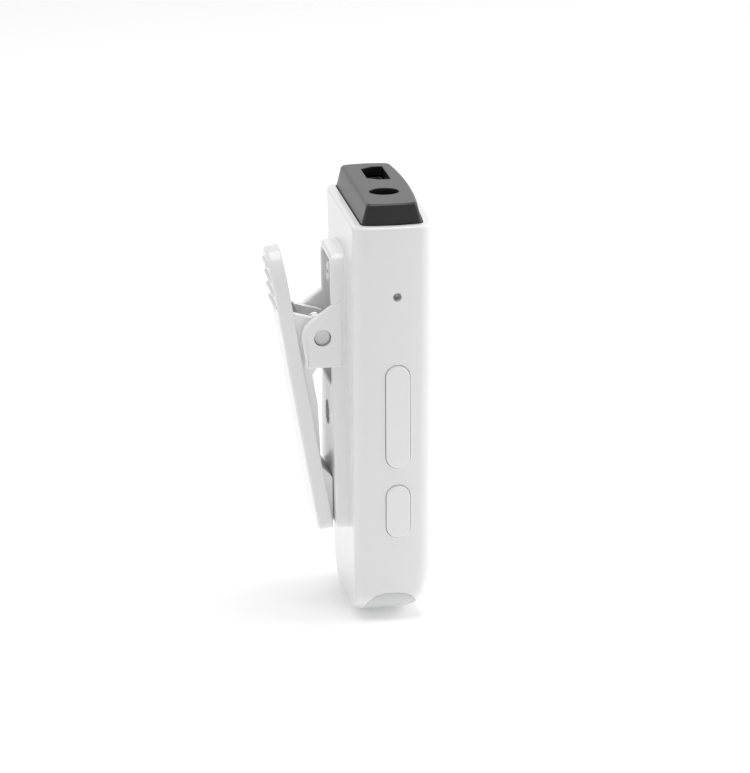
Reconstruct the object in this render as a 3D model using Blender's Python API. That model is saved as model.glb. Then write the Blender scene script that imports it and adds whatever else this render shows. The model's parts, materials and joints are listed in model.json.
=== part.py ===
# Clip-on digital audio player: a tapered white case with a dark end cap for its charging and
# headphone sockets, two keys and a microphone on one narrow side, and a sprung clip on its back.
# Frame: +Z up, the flat back and the clip face +Y, the keys face -X.
# The origin is on the flat bottom that the player stands on. All sizes are in metres.

import math

import bmesh
import bpy
from mathutils import Matrix, Vector

for item in list(bpy.data.objects):
    bpy.data.objects.remove(item, do_unlink=True)

# Case
BODY_HEIGHT = 0.0529
BODY_WIDTH = 0.0266
BODY_DEPTH = 0.0102
SIDE_TAPER = 0.0025
FRONT_LEAN = 0.0003
FRONT_CROWN = 0.0006
SIDE_CROWN = 0.0004
FRONT_CORNER_RADIUS = 0.0018
BACK_CORNER_RADIUS = 0.0013
INNER_CORNER_RADIUS = 0.0004
BOTTOM_FRONT_HEIGHT = 0.0080
BOTTOM_FRONT_DEPTH = 0.0040
BOTTOM_BACK_RADIUS = 0.0007
BOTTOM_SIDE_HEIGHT = 0.0036
FOOT_HALF_WIDTH = 0.0019
TOP_EDGE_RADIUS = 0.0005
WALL = 0.0011
FIT_GAP = 0.00012
SEAT_GAP = 0.0001
PART_GAP = 0.0002

# End cap
CAP_RISE = 0.0027
CAP_PLUG = 0.0026
CAP_TAPER = 0.0006
CAP_SIDE_TAPER = 0.00015
CAP_EDGE_RADIUS = 0.0003
CAP_WALL = 0.0008
CAP_ROOF = 0.0012
CATCH_WIDTH = 0.0050
CATCH_HEIGHT = 0.0007
CATCH_DEPTH = 0.0003

# Charging socket
USB_EDGE = 0.00745
USB_Y = -0.0005
USB_WIDE = 0.0074
USB_NARROW = 0.0054
USB_THICK = 0.0027
USB_LENGTH = 0.0052
USB_SHELL = 0.0003
USB_CORNER_RADIUS = 0.0003
TONGUE_WIDTH = 0.0040
TONGUE_THICK = 0.0007
TONGUE_LENGTH = 0.0038

# Headphone socket
JACK_EDGE = 0.0086
JACK_Y = -0.00005
JACK_OPENING_RADIUS = 0.0019
JACK_BORE_RADIUS = 0.0018
JACK_BODY_WIDTH = 0.0054
JACK_BODY_DEPTH = 0.0047
JACK_BODY_LENGTH = 0.0115
JACK_BOTTOM = 0.0012
COLLAR_RADIUS = 0.0021
COLLAR_HEIGHT = 0.0010
CONTACT_THICK = 0.0003
CONTACT_WIDTH = 0.0018
TIP_CONTACT_LENGTH = 0.0070
SLEEVE_CONTACT_LENGTH = 0.0050

# Keys and switches, measured from the side surface inwards and along it from the bottom
KEY_LINE_Y = -0.0004
KEY_WIDTH = 0.0031
KEY_PROUD = 0.00035
KEY_CLEARANCE = 0.0001
KEY_EDGE_RADIUS = 0.0003
ROCKER_LENGTH = 0.01376
ROCKER_HEIGHT = 0.0278
ROCKER_BACK = 0.0007
ROCKER_LUG_WIDTH = 0.0018
ROCKER_LUG_LENGTH = 0.0018
ROCKER_LUG_DEPTH = 0.0014
ROCKER_PIN_RADIUS = 0.00035
PIN_CLEARANCE = 0.00007
PIN_EAR_THICK = 0.0010
PIN_EAR_LENGTH = 0.0020
NIB_SIDE = 0.0014
ROCKER_NIB_INSET = 0.00228
BUTTON_LENGTH = 0.0071
KEY_SPACING = 0.00237
BUTTON_FLANGE = 0.0006
BUTTON_FLANGE_RIM = 0.0006
BUTTON_FLANGE_GAP = 0.0003
BUTTON_TRAVEL = 0.0003
ROCKER_NIB_TRAVEL = 0.00013
NIB_LENGTH = 0.0006
STEM_GAP = 0.0001
STEM_RADIUS = 0.0006
STEM_LENGTH = 0.0007
SWITCH_LENGTH = 0.0036
SWITCH_DEPTH = 0.0018
SWITCH_THICK = 0.0020

# Microphone
MICROPHONE_DROP = 0.0092
MICROPHONE_HOLE_RADIUS = 0.00055
MESH_RADIUS = 0.0010
MESH_THICK = 0.00015
BOOT_RADIUS = 0.0016
BOOT_BORE_RADIUS = 0.0007
BOOT_LENGTH = 0.0010
CAPSULE_RADIUS = 0.0013
CAPSULE_LENGTH = 0.0012

# Bottom window
WINDOW_HALF_WIDTH = 0.0035
WINDOW_HEIGHT = 0.0038
WINDOW_Y = 0.0004
WINDOW_SQUARENESS = 0.72
WINDOW_LIP = 0.0007

# Circuit board and what it carries
BOARD_THICK = 0.0008
BOARD_BOTTOM = 0.0052
BOARD_TOP_DROP = 0.0010
BOARD_EDGE = 0.0036
CHIP_THICK = 0.0009
DECODER_SIDE = 0.0060
DECODER_X = 0.0040
DECODER_RISE = 0.0072
MEMORY_SIDE = 0.0050
MEMORY_X = 0.0032
MEMORY_RISE = 0.0150
SHIELD_WIDTH = 0.0054
SHIELD_HEIGHT = 0.0064
SHIELD_THICK = 0.0013
SHIELD_X = -0.0024
SHIELD_RISE = 0.0078
CHARGE_CHIP_SIDE = 0.0030
CHARGE_CHIP_X = -0.0040
CHARGE_CHIP_RISE = 0.0024
CRYSTAL_WIDTH = 0.0025
CRYSTAL_HEIGHT = 0.0020
CRYSTAL_THICK = 0.0007
CRYSTAL_X = -0.0014
CRYSTAL_RISE = 0.0138
INDUCTOR_SIDE = 0.0020
INDUCTOR_THICK = 0.0012
INDUCTOR_X = 0.0008
INDUCTOR_RISE = 0.0018
ANTENNA_LENGTH = 0.0050
ANTENNA_WIDTH = 0.0012
ANTENNA_DROP = 0.0080
POST_RADIUS = 0.0009
POST_SPACING = 0.0120
POST_MARGIN = 0.0040
LED_SIZE = 0.0012
LED_LENGTH = 0.0016

# Battery
BATTERY_NEAR = 0.0068
BATTERY_FAR = 0.0034
BATTERY_BOTTOM = 0.0052
BATTERY_THICK = 0.0029
BATTERY_CORNER_RADIUS = 0.0008
TAPE_THICK = 0.0003
TAPE_MARGIN = 0.0015
CELL_BOARD_WIDTH = 0.0050
CELL_BOARD_HEIGHT = 0.0011
CELL_BOARD_THICK = 0.0012
LEAD_RADIUS = 0.0003
LEAD_SPACING = 0.0016
LEAD_CLIMB = 0.0032
LEAD_BOW = 0.0048
LEAD_STEPS = 14

# Clip
CLIP_TOP_DROP = 0.0051
CLIP_LENGTH = 0.0361
CLIP_HALF_WIDTH = 0.0052
CLIP_FLARE = 0.0021
CLIP_THICK = 0.0019
CLIP_RECESS = 0.00025
CLIP_TOP_RADIUS = 0.0013
CLIP_BOTTOM_RADIUS = 0.0010
CHANNEL_RIM = 0.0012
CHANNEL_DEPTH = 0.0010
CHANNEL_RADIUS = 0.0006
CHANNEL_LENGTH = 0.0165
PIVOT_DROP = 0.0110
PIVOT_HEIGHT = 0.0012
EAR_RADIUS = 0.00265
EAR_RISE = 0.0051
EAR_FALL = 0.0040
EAR_FOOT = 0.0033
EAR_CORNER_RADIUS = 0.0003
EAR_ROOT = 0.00045
EAR_PROUD = 0.00015
CLIP_PIN_RADIUS = 0.00105
CLIP_PIN_SINK = 0.0006
CLIP_PIN_CHAMFER = 0.00015

# Lever
LEVER_OFFSET = 0.0030
LEVER_THICK = 0.00195
LEVER_HALF_WIDTH = 0.0041
LEVER_FLARE = 0.0015
LEVER_UPPER = 0.0120
LEVER_LOWER = 0.0254
LEVER_TOP_HEIGHT = 0.0050
LEVER_BOTTOM_RADIUS = 0.0010
JAW_GAP = 0.00011
LUG_INNER = 0.0025
LUG_THICK = 0.0012
LUG_RADIUS = 0.0019
LUG_ROOT_UP = 0.0035
LUG_ROOT_DOWN = 0.0050
RIB_HEIGHT = 0.0010
RIB_START = 0.0040
RIB_END = 0.0170
TOOTH_HALF_WIDTH = 0.0038
TOOTH_CREST = 0.0188
TOOTH_START = 0.0172
RIDGE_COUNT = 4
RIDGE_FIRST = 0.0046
RIDGE_PITCH = 0.0018
RIDGE_WIDTH = 0.0008
RIDGE_HEIGHT = 0.0003
RIDGE_MARGIN = 0.0009

# Clip spring
WIRE_RADIUS = 0.00025
COIL_RADIUS = 0.0015
COIL_PITCH = 0.00098
COIL_TURNS = 4
COIL_POINTS = 10
SPRING_LEG = 0.0036
LEG_CLEARANCE = 0.00015

# Screws
SCREW_RADIUS = 0.0006
SCREW_BITE_GAP = 0.00006
SCREW_HOLE_GAP = 0.00025
SCREW_HEAD_RADIUS = 0.0013
SCREW_HEAD_THICK = 0.0007
SCREW_TIP = 0.0006
SCREW_SLOT_WIDTH = 0.0004
SCREW_SLOT_DEPTH = 0.00035
SCREW_SLOT_REACH = 0.0009
COUNTERBORE_GAP = 0.0003
UPPER_SCREW_DROP = 0.0035
LOWER_SCREW_DROP = 0.0223
SCREW_LENGTH = 0.0033
BOSS_RADIUS = 0.0014
BOSS_LENGTH = 0.0011

# How finely round shapes are cut
CORNER_STEPS = 4
CIRCLE_STEPS = 24
SMALL_CIRCLE_STEPS = 16
SIDE_POINTS = 5
FACE_POINTS = 7
BOTTOM_LEVELS = 7
EDGE_LEVELS = 3
OVERSHOOT = 0.001

# Places that follow from the sizes above
BACK_Y = BODY_DEPTH / 2
BOTTOM_SIDE_DEPTH = BODY_WIDTH / 2 - SIDE_TAPER - SIDE_CROWN - FOOT_HALF_WIDTH
CAP_INSET = WALL + FIT_GAP
CAP_TOP = BODY_HEIGHT + CAP_RISE
SOCKET_TOP = CAP_TOP - CAP_ROOF - PART_GAP
USB_X = BODY_WIDTH / 2 - USB_EDGE
JACK_X = JACK_EDGE - BODY_WIDTH / 2
JACK_FLOOR = SOCKET_TOP - JACK_BODY_LENGTH
BOARD_BACK = USB_Y - USB_THICK / 2 - SEAT_GAP
BOARD_FRONT = BOARD_BACK - BOARD_THICK
BOARD_TOP = BODY_HEIGHT - BOARD_TOP_DROP
COMPONENT_Y = BOARD_BACK + SEAT_GAP
INNER_BACK = BACK_Y - WALL
SIDE_ANGLE = math.atan(SIDE_TAPER / BODY_HEIGHT)
CLIP_TOP = BODY_HEIGHT - CLIP_TOP_DROP
CLIP_BOTTOM = CLIP_TOP - CLIP_LENGTH
CLIP_SEAT = BACK_Y - CLIP_RECESS + SEAT_GAP
CLIP_FACE = BACK_Y + CLIP_THICK
CHANNEL_FLOOR = CLIP_FACE - CHANNEL_DEPTH
CHANNEL_HALF_WIDTH = CLIP_HALF_WIDTH - CHANNEL_RIM
PIVOT_Y = CLIP_FACE + PIVOT_HEIGHT
PIVOT_Z = CLIP_TOP - PIVOT_DROP
UPPER_SCREW_Z = CLIP_TOP - UPPER_SCREW_DROP
LOWER_SCREW_Z = CLIP_TOP - LOWER_SCREW_DROP
HEAD_SEAT = CHANNEL_FLOOR + SEAT_GAP / 2

# The lever leans so that the end of its inner face comes within the jaw gap of the clip base
JAW_REACH = math.hypot(LEVER_OFFSET, LEVER_LOWER)
LEVER_LEAN = (math.acos((JAW_GAP - PIVOT_HEIGHT) / JAW_REACH)
              - math.atan2(LEVER_LOWER, LEVER_OFFSET))

# Inward stations behind the keys
ROCKER_NIB_SPACING = ROCKER_LENGTH - 2 * ROCKER_NIB_INSET
BUTTON_HEIGHT = ROCKER_HEIGHT - ROCKER_LENGTH / 2 - KEY_SPACING - BUTTON_LENGTH / 2
KEY_BACK = WALL + ROCKER_BACK
ROCKER_PIVOT = KEY_BACK + ROCKER_LUG_DEPTH / 2
FLANGE_START = WALL + BUTTON_FLANGE_GAP
NIB_END = FLANGE_START + BUTTON_FLANGE + NIB_LENGTH
STEM_START = NIB_END + BUTTON_TRAVEL + STEM_GAP
ROCKER_NIB_END = STEM_START - ROCKER_NIB_TRAVEL - STEM_GAP
SWITCH_START = STEM_START + STEM_LENGTH


def finish(name, colour, roughness, metallic=0.0):
    """A plain Principled material."""
    material = bpy.data.materials.new(name)
    material.use_nodes = True
    shader = material.node_tree.nodes["Principled BSDF"]
    shader.inputs["Base Color"].default_value = (*colour, 1.0)
    shader.inputs["Roughness"].default_value = roughness
    shader.inputs["Metallic"].default_value = metallic
    return material


WHITE = finish("white_shell", (0.80, 0.80, 0.80), 0.38)
CHARCOAL = finish("charcoal_cap", (0.028, 0.029, 0.031), 0.45)
MILKY = finish("milky_window", (0.62, 0.63, 0.63), 0.35)
STEEL = finish("bright_steel", (0.60, 0.60, 0.60), 0.28, 1.0)
BOARD_GREEN = finish("board_green", (0.015, 0.13, 0.05), 0.45)
CHIP_BLACK = finish("chip_black", (0.02, 0.02, 0.022), 0.55)
SOCKET_BLACK = finish("socket_black", (0.015, 0.015, 0.016), 0.5)
CELL_SILVER = finish("cell_silver", (0.55, 0.56, 0.58), 0.42, 0.6)
RUBBER = finish("soft_rubber", (0.03, 0.03, 0.03), 0.8)
MESH_GREY = finish("mesh_grey", (0.16, 0.16, 0.16), 0.6)
TAPE_WHITE = finish("foam_tape", (0.75, 0.74, 0.70), 0.9)
LEAD_RED = finish("lead_red", (0.55, 0.02, 0.02), 0.45)
LEAD_BLACK = finish("lead_black", (0.02, 0.02, 0.02), 0.45)
BRASS = finish("contact_brass", (0.75, 0.55, 0.25), 0.3, 1.0)
CERAMIC = finish("ceramic_white", (0.72, 0.70, 0.66), 0.5)


def add_object(name, mesh, material=None, frame=None):
    """Links a mesh as a named object, placed in a parent frame if one is given."""
    obj = bpy.data.objects.new(name, mesh)
    bpy.context.scene.collection.objects.link(obj)
    if material:
        mesh.materials.append(material)
    if frame:
        obj.parent = frame
    return obj


def add_frame(name, place):
    """An empty that carries the pieces of one sub-assembly."""
    empty = bpy.data.objects.new(name, None)
    bpy.context.scene.collection.objects.link(empty)
    empty.matrix_world = place
    return empty


def loft(name, loops, material=None, frame=None):
    """Closed solid through loops of equal length, capped at both ends."""
    shape = bmesh.new()
    rings = [[shape.verts.new(point) for point in loop] for loop in loops]
    for lower, upper in zip(rings, rings[1:]):
        for i, corner in enumerate(lower):
            j = (i + 1) % len(lower)
            shape.faces.new((corner, lower[j], upper[j], upper[i]))
    shape.faces.new(list(reversed(rings[0])))
    shape.faces.new(rings[-1])
    bmesh.ops.recalc_face_normals(shape, faces=shape.faces)
    mesh = bpy.data.meshes.new(name)
    shape.to_mesh(mesh)
    shape.free()
    return add_object(name, mesh, material, frame)


def on_axis(axis, along, point):
    """A point of a flat outline, set at a distance along one axis."""
    first, second = point
    return {"X": (along, first, second), "Y": (first, along, second),
            "Z": (first, second, along)}[axis]


def prism(name, axis, outline, start, end, material=None, frame=None):
    """Outline extruded along an axis."""
    loops = [[on_axis(axis, along, point) for point in outline] for along in (start, end)]
    return loft(name, loops, material, frame)


def turned(name, axis, centre, profile, material=None, frame=None, steps=SMALL_CIRCLE_STEPS):
    """Round solid: the profile lists its radius at each distance along the axis."""
    loops = [[on_axis(axis, along, point) for point in circle(centre, radius, steps)]
             for along, radius in profile]
    return loft(name, loops, material, frame)


def circle(centre, radius, steps=CIRCLE_STEPS):
    angles = [2 * math.pi * (i + 0.5) / steps for i in range(steps)]
    return [(centre[0] + radius * math.cos(a), centre[1] + radius * math.sin(a)) for a in angles]


def arc(centre, radius, start, end, steps):
    angles = [start + (end - start) * i / steps for i in range(steps + 1)]
    return [(centre[0] + radius * math.cos(a), centre[1] + radius * math.sin(a)) for a in angles]


def rounded(corners, steps=CORNER_STEPS):
    """Outline through (point, radius) corners, each rounded by an arc."""
    outline = []
    for i, (point, radius) in enumerate(corners):
        here = Vector(point)
        back = (Vector(corners[i - 1][0]) - here).normalized()
        ahead = (Vector(corners[(i + 1) % len(corners)][0]) - here).normalized()
        half_angle = back.angle(ahead) / 2
        if radius <= 0 or abs(half_angle - math.pi / 2) < 1e-6:
            outline.append(tuple(here))
            continue
        reach = radius / math.tan(half_angle)
        centre = here + (back + ahead).normalized() * radius / math.sin(half_angle)
        first = here + back * reach - centre
        last = here + ahead * reach - centre
        turn = first.angle_signed(last)
        for step in range(steps + 1):
            spoke = Matrix.Rotation(-turn * step / steps, 2) @ first
            outline.append(tuple(centre + spoke))
    return outline


def rectangle(low, high, radius=0.0):
    """Rounded rectangle between two corners."""
    points = [(low[0], low[1]), (high[0], low[1]), (high[0], high[1]), (low[0], high[1])]
    return rounded([(point, radius) for point in points])


def stadium(width, length):
    """Upright slot outline with round ends, about the origin."""
    radius = width / 2
    rise = length / 2 - radius
    steps = 2 * CORNER_STEPS
    return (arc((0, rise), radius, 0, math.pi, steps)
            + arc((0, -rise), radius, math.pi, 2 * math.pi, steps))


def block(name, low, high, material=None, frame=None, radius=0.0):
    """Box between two corners, its upright edges rounded."""
    outline = rectangle(low[:2], high[:2], radius)
    return prism(name, "Z", outline, low[2], high[2], material, frame)


def combine(target, tool, operation):
    """Boolean of two solids: the tool is used up and the target takes the result."""
    bpy.context.view_layer.update()
    modifier = target.modifiers.new("combine", "BOOLEAN")
    modifier.operation = operation
    modifier.solver = "EXACT"
    modifier.object = tool
    graph = bpy.context.evaluated_depsgraph_get()
    mesh = bpy.data.meshes.new_from_object(target.evaluated_get(graph))
    target.modifiers.clear()
    target.data = mesh
    bpy.data.objects.remove(tool, do_unlink=True)


def cut(target, tool):
    combine(target, tool, "DIFFERENCE")


def join(target, tool):
    combine(target, tool, "UNION")


def keep_inside(target, tool):
    combine(target, tool, "INTERSECT")


def side_x(z):
    """Half width of the case at a height, at the middle of its narrow side."""
    return BODY_WIDTH / 2 - SIDE_TAPER * (1 - z / BODY_HEIGHT)


def front_y(z):
    """Front edge of the case at a height above the curve of its bottom."""
    return FRONT_LEAN * (1 - z / BODY_HEIGHT) - BODY_DEPTH / 2


def rounding(rise, height, depth):
    """How far a quarter ellipse of that height and depth draws in at a rise above its foot."""
    if rise >= height:
        return 0.0
    return depth * (1 - math.sqrt(1 - (1 - rise / height) ** 2))


def body_section(z, inset, rise, side_inset=None):
    """Outline of the case at a height, drawn in by an inset, with crowned front and sides."""
    draw_in = inset if side_inset is None else side_inset
    half = side_x(z) - SIDE_CROWN - rounding(rise, BOTTOM_SIDE_HEIGHT, BOTTOM_SIDE_DEPTH) - draw_in
    front = front_y(z) + rounding(rise, BOTTOM_FRONT_HEIGHT, BOTTOM_FRONT_DEPTH) + inset
    back = BACK_Y - rounding(rise, BOTTOM_BACK_RADIUS, BOTTOM_BACK_RADIUS) - inset
    front_radius = max(FRONT_CORNER_RADIUS - inset, INNER_CORNER_RADIUS)
    back_radius = max(BACK_CORNER_RADIUS - inset, INNER_CORNER_RADIUS)
    quarter = math.pi / 2
    corners = [((half, front), front_radius, -1), ((half, back), back_radius, 0),
               ((-half, back), back_radius, 1), ((-half, front), front_radius, 2)]
    counts = [SIDE_POINTS, FACE_POINTS, SIDE_POINTS, FACE_POINTS]
    flat = []
    for i, ((x, y), radius, turn) in enumerate(corners):
        centre = (x - math.copysign(radius, x), y + (radius if y == front else -radius))
        flat += arc(centre, radius, turn * quarter, (turn + 1) * quarter, CORNER_STEPS)
        last = Vector(flat[-1])
        (x, y), radius, turn = corners[(i + 1) % 4]
        centre = (x - math.copysign(radius, x), y + (radius if y == front else -radius))
        first = Vector(arc(centre, radius, turn * quarter, turn * quarter, 1)[0])
        flat += [tuple(last.lerp(first, (k + 1) / (counts[i] + 1))) for k in range(counts[i])]
    middle = (front + back) / 2
    depth = (back - front) / 2
    outline = []
    for x, y in flat:
        across = x / half
        towards_back = (y - middle) / depth
        crowned_x = x + SIDE_CROWN * across * (1 - towards_back ** 2)
        crowned_y = y - FRONT_CROWN * (1 - across ** 2) * max(0.0, -towards_back)
        outline.append((crowned_x, crowned_y, z))
    return outline


def bottom_rises():
    """Heights of the outlines that draw the curved bottom."""
    steps = [math.pi / 2 * i / BOTTOM_LEVELS for i in range(BOTTOM_LEVELS + 1)]
    return [BOTTOM_FRONT_HEIGHT * (1 - math.cos(angle)) for angle in steps]


def body_volume(name, inset, top):
    """The case's shape drawn in by an inset all round and at the bottom, up to a height."""
    loops = [body_section(inset + rise, inset, rise) for rise in bottom_rises()]
    loops.append(body_section(top, inset, top))
    return loft(name, loops)


def body_outside(name):
    """The case's outer shape, with its top edge rounded."""
    loops = [body_section(rise, 0.0, rise) for rise in bottom_rises()]
    for i in range(EDGE_LEVELS + 1):
        angle = math.pi / 2 * i / EDGE_LEVELS
        z = BODY_HEIGHT - TOP_EDGE_RADIUS * (1 - math.sin(angle))
        loops.append(body_section(z, TOP_EDGE_RADIUS * (1 - math.cos(angle)), BODY_HEIGHT))
    return loft(name, loops)


def window_bar(name, grow):
    """Oval bar along X that shapes the bottom window and the opening for it."""
    reach = BODY_WIDTH / 2 + OVERSHOOT
    outline = []
    for y, z in circle((0.0, 0.0), 1.0, 2 * CIRCLE_STEPS):
        across = math.copysign(abs(y) ** WINDOW_SQUARENESS, y)
        up = math.copysign(abs(z) ** WINDOW_SQUARENESS, z)
        outline.append((WINDOW_Y + (WINDOW_HALF_WIDTH + grow) * across, (WINDOW_HEIGHT + grow) * up))
    return prism(name, "X", outline, -reach, reach)


SIDE_FRAME = add_frame("key_side", Matrix.Translation((-side_x(0.0), KEY_LINE_Y, 0.0))
                       @ Matrix.Rotation(-SIDE_ANGLE, 4, "Y"))
MICROPHONE_HEIGHT = (BODY_HEIGHT - MICROPHONE_DROP) / math.cos(SIDE_ANGLE)


def key_opening(length, height):
    """Slot through the narrow side for a key, with its running clearance."""
    outline = [(y, z + height) for y, z in stadium(KEY_WIDTH + 2 * KEY_CLEARANCE,
                                                    length + 2 * KEY_CLEARANCE)]
    return prism("opening", "X", outline, -OVERSHOOT, WALL + OVERSHOOT, frame=SIDE_FRAME)


def pin_ear(side):
    """Ear inside the case that holds an end of the rocker's pin."""
    near = side * (KEY_WIDTH / 2 + PART_GAP)
    far = near + side * PIN_EAR_THICK
    low_y, high_y = min(near, far), max(near, far)
    ear = block("ear", (WALL / 2, low_y, ROCKER_HEIGHT - PIN_EAR_LENGTH / 2),
                (KEY_BACK + ROCKER_LUG_DEPTH, high_y, ROCKER_HEIGHT + PIN_EAR_LENGTH / 2),
                frame=SIDE_FRAME)
    bore = circle((ROCKER_PIVOT, ROCKER_HEIGHT), ROCKER_PIN_RADIUS + PIN_CLEARANCE,
                  SMALL_CIRCLE_STEPS)
    cut(ear, prism("bore", "Y", bore, low_y - OVERSHOOT, high_y + OVERSHOOT, frame=SIDE_FRAME))
    return ear


def catch_bar(side, gap):
    """Bar that catches the end cap in the case, or with a gap the pocket that takes it."""
    half = CATCH_WIDTH / 2 + gap
    bottom = BODY_HEIGHT - CAP_PLUG + CATCH_HEIGHT
    face = INNER_BACK - FIT_GAP if side > 0 else front_y(BODY_HEIGHT) - FRONT_CROWN + CAP_INSET
    inner, outer = face - side * CAP_WALL / 2, face + side * (FIT_GAP + CATCH_DEPTH + gap)
    return block("catch", (-half, min(inner, outer), bottom - gap),
                 (half, max(inner, outer), bottom + CATCH_HEIGHT + gap))


def screw_hole(z, radius, start, end):
    return prism("hole", "Y", circle((0.0, z), radius, SMALL_CIRCLE_STEPS), start, end)


def clip_outline(grow):
    """Clip base outline: round shoulders at the top, flaring towards the jaw."""
    ear_foot = PIVOT_Z - EAR_FALL
    half = CLIP_HALF_WIDTH + grow
    low_half = half + CLIP_FLARE
    right = [((low_half, CLIP_BOTTOM - grow), CLIP_BOTTOM_RADIUS), ((half, ear_foot), 0.0),
             ((half, CLIP_TOP + grow), CLIP_TOP_RADIUS)]
    left = [((-x, z), radius) for (x, z), radius in reversed(right)]
    return rounded(right + left, 2 * CORNER_STEPS)


def case_shell():
    """One-piece case, open at the top, with its openings, screw bosses and board posts."""
    shell = body_outside("case_shell")
    cut(shell, body_volume("cavity", WALL, BODY_HEIGHT + OVERSHOOT))
    cut(shell, window_bar("window", FIT_GAP))
    cut(shell, prism("recess", "Y", clip_outline(SEAT_GAP), BACK_Y - CLIP_RECESS, BACK_Y + OVERSHOOT))
    cut(shell, key_opening(ROCKER_LENGTH, ROCKER_HEIGHT))
    cut(shell, key_opening(BUTTON_LENGTH, BUTTON_HEIGHT))
    hole = circle((0.0, MICROPHONE_HEIGHT), MICROPHONE_HOLE_RADIUS, SMALL_CIRCLE_STEPS)
    cut(shell, prism("hole", "X", hole, -OVERSHOOT, WALL + OVERSHOOT, frame=SIDE_FRAME))
    for side in (-1, 1):
        cut(shell, catch_bar(side, FIT_GAP))
        join(shell, pin_ear(side))
    boss_end = INNER_BACK - BOSS_LENGTH
    for z in (UPPER_SCREW_Z, LOWER_SCREW_Z):
        join(shell, screw_hole(z, BOSS_RADIUS, boss_end, INNER_BACK + WALL / 2))
        cut(shell, screw_hole(z, SCREW_RADIUS + SCREW_BITE_GAP, boss_end - OVERSHOOT, BACK_Y + OVERSHOOT))
    for z in (BOARD_BOTTOM + POST_MARGIN, JACK_FLOOR - POST_MARGIN):
        foot = front_y(z) - (FRONT_CROWN - WALL) / 2
        for x in (-POST_SPACING / 2, POST_SPACING / 2):
            post = circle((x, z), POST_RADIUS, SMALL_CIRCLE_STEPS)
            join(shell, prism("post", "Y", post, foot, BOARD_FRONT - SEAT_GAP))
    shell.data.materials.append(WHITE)


def light_window():
    """Milky insert across the bottom, held from inside by a lip wider than its opening."""
    window = body_outside("light_window")
    keep_inside(window, window_bar("bar", 0.0))
    lip = body_volume("lip", WALL + FIT_GAP, BODY_HEIGHT / 2)
    keep_inside(lip, window_bar("bar", WINDOW_LIP))
    join(window, lip)
    window.data.materials.append(MILKY)
    return window


def usb_outline(grow):
    """Charging socket outline: its wide side faces the front."""
    half_wide = USB_WIDE / 2 + grow
    half_narrow = USB_NARROW / 2 + grow
    half_thick = USB_THICK / 2 + grow
    corners = [(USB_X - half_wide, USB_Y - half_thick), (USB_X + half_wide, USB_Y - half_thick),
               (USB_X + half_wide, USB_Y), (USB_X + half_narrow, USB_Y + half_thick),
               (USB_X - half_narrow, USB_Y + half_thick), (USB_X - half_wide, USB_Y)]
    return rounded([(corner, USB_CORNER_RADIUS) for corner in corners], 2)


def top_cap():
    """Tapered end cap: a plug inside the case's rim, hollow below a thick roof."""
    plug_end = BODY_HEIGHT - CAP_PLUG
    edge_start = CAP_TOP - CAP_EDGE_RADIUS
    loops = [body_section(plug_end, CAP_INSET, BODY_HEIGHT),
             body_section(BODY_HEIGHT, CAP_INSET, BODY_HEIGHT)]
    for i in range(EDGE_LEVELS + 1):
        angle = math.pi / 2 * i / EDGE_LEVELS
        z = edge_start + CAP_EDGE_RADIUS * math.sin(angle)
        inset = CAP_INSET + CAP_EDGE_RADIUS * (1 - math.cos(angle))
        loops.append(body_section(z, inset + CAP_TAPER, BODY_HEIGHT, inset + CAP_SIDE_TAPER))
    cap = loft("top_cap", loops)
    hollow = [body_section(plug_end - OVERSHOOT, CAP_INSET + CAP_WALL, BODY_HEIGHT),
              body_section(BODY_HEIGHT, CAP_INSET + CAP_WALL, BODY_HEIGHT),
              body_section(CAP_TOP - CAP_ROOF, CAP_INSET + CAP_WALL + CAP_TAPER, BODY_HEIGHT)]
    cut(cap, loft("hollow", hollow))
    top = CAP_TOP + OVERSHOOT
    cut(cap, prism("usb", "Z", usb_outline(FIT_GAP), BODY_HEIGHT, top))
    cut(cap, prism("jack", "Z", circle((JACK_X, JACK_Y), JACK_OPENING_RADIUS), BODY_HEIGHT, top))
    join(cap, catch_bar(1, 0.0))
    join(cap, catch_bar(-1, 0.0))
    cap.data.materials.append(CHARCOAL)
    return cap


def charging_socket():
    """Metal shell with a contact tongue standing in it."""
    floor = SOCKET_TOP - USB_LENGTH
    shell = prism("usb_socket", "Z", usb_outline(0.0), floor, SOCKET_TOP, STEEL)
    cut(shell, prism("inside", "Z", usb_outline(-USB_SHELL), floor + USB_SHELL,
                     SOCKET_TOP + OVERSHOOT))
    foot = floor + USB_SHELL + SEAT_GAP
    block("usb_tongue", (USB_X - TONGUE_WIDTH / 2, USB_Y - TONGUE_THICK / 2, foot),
          (USB_X + TONGUE_WIDTH / 2, USB_Y + TONGUE_THICK / 2, foot + TONGUE_LENGTH), SOCKET_BLACK)


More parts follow.
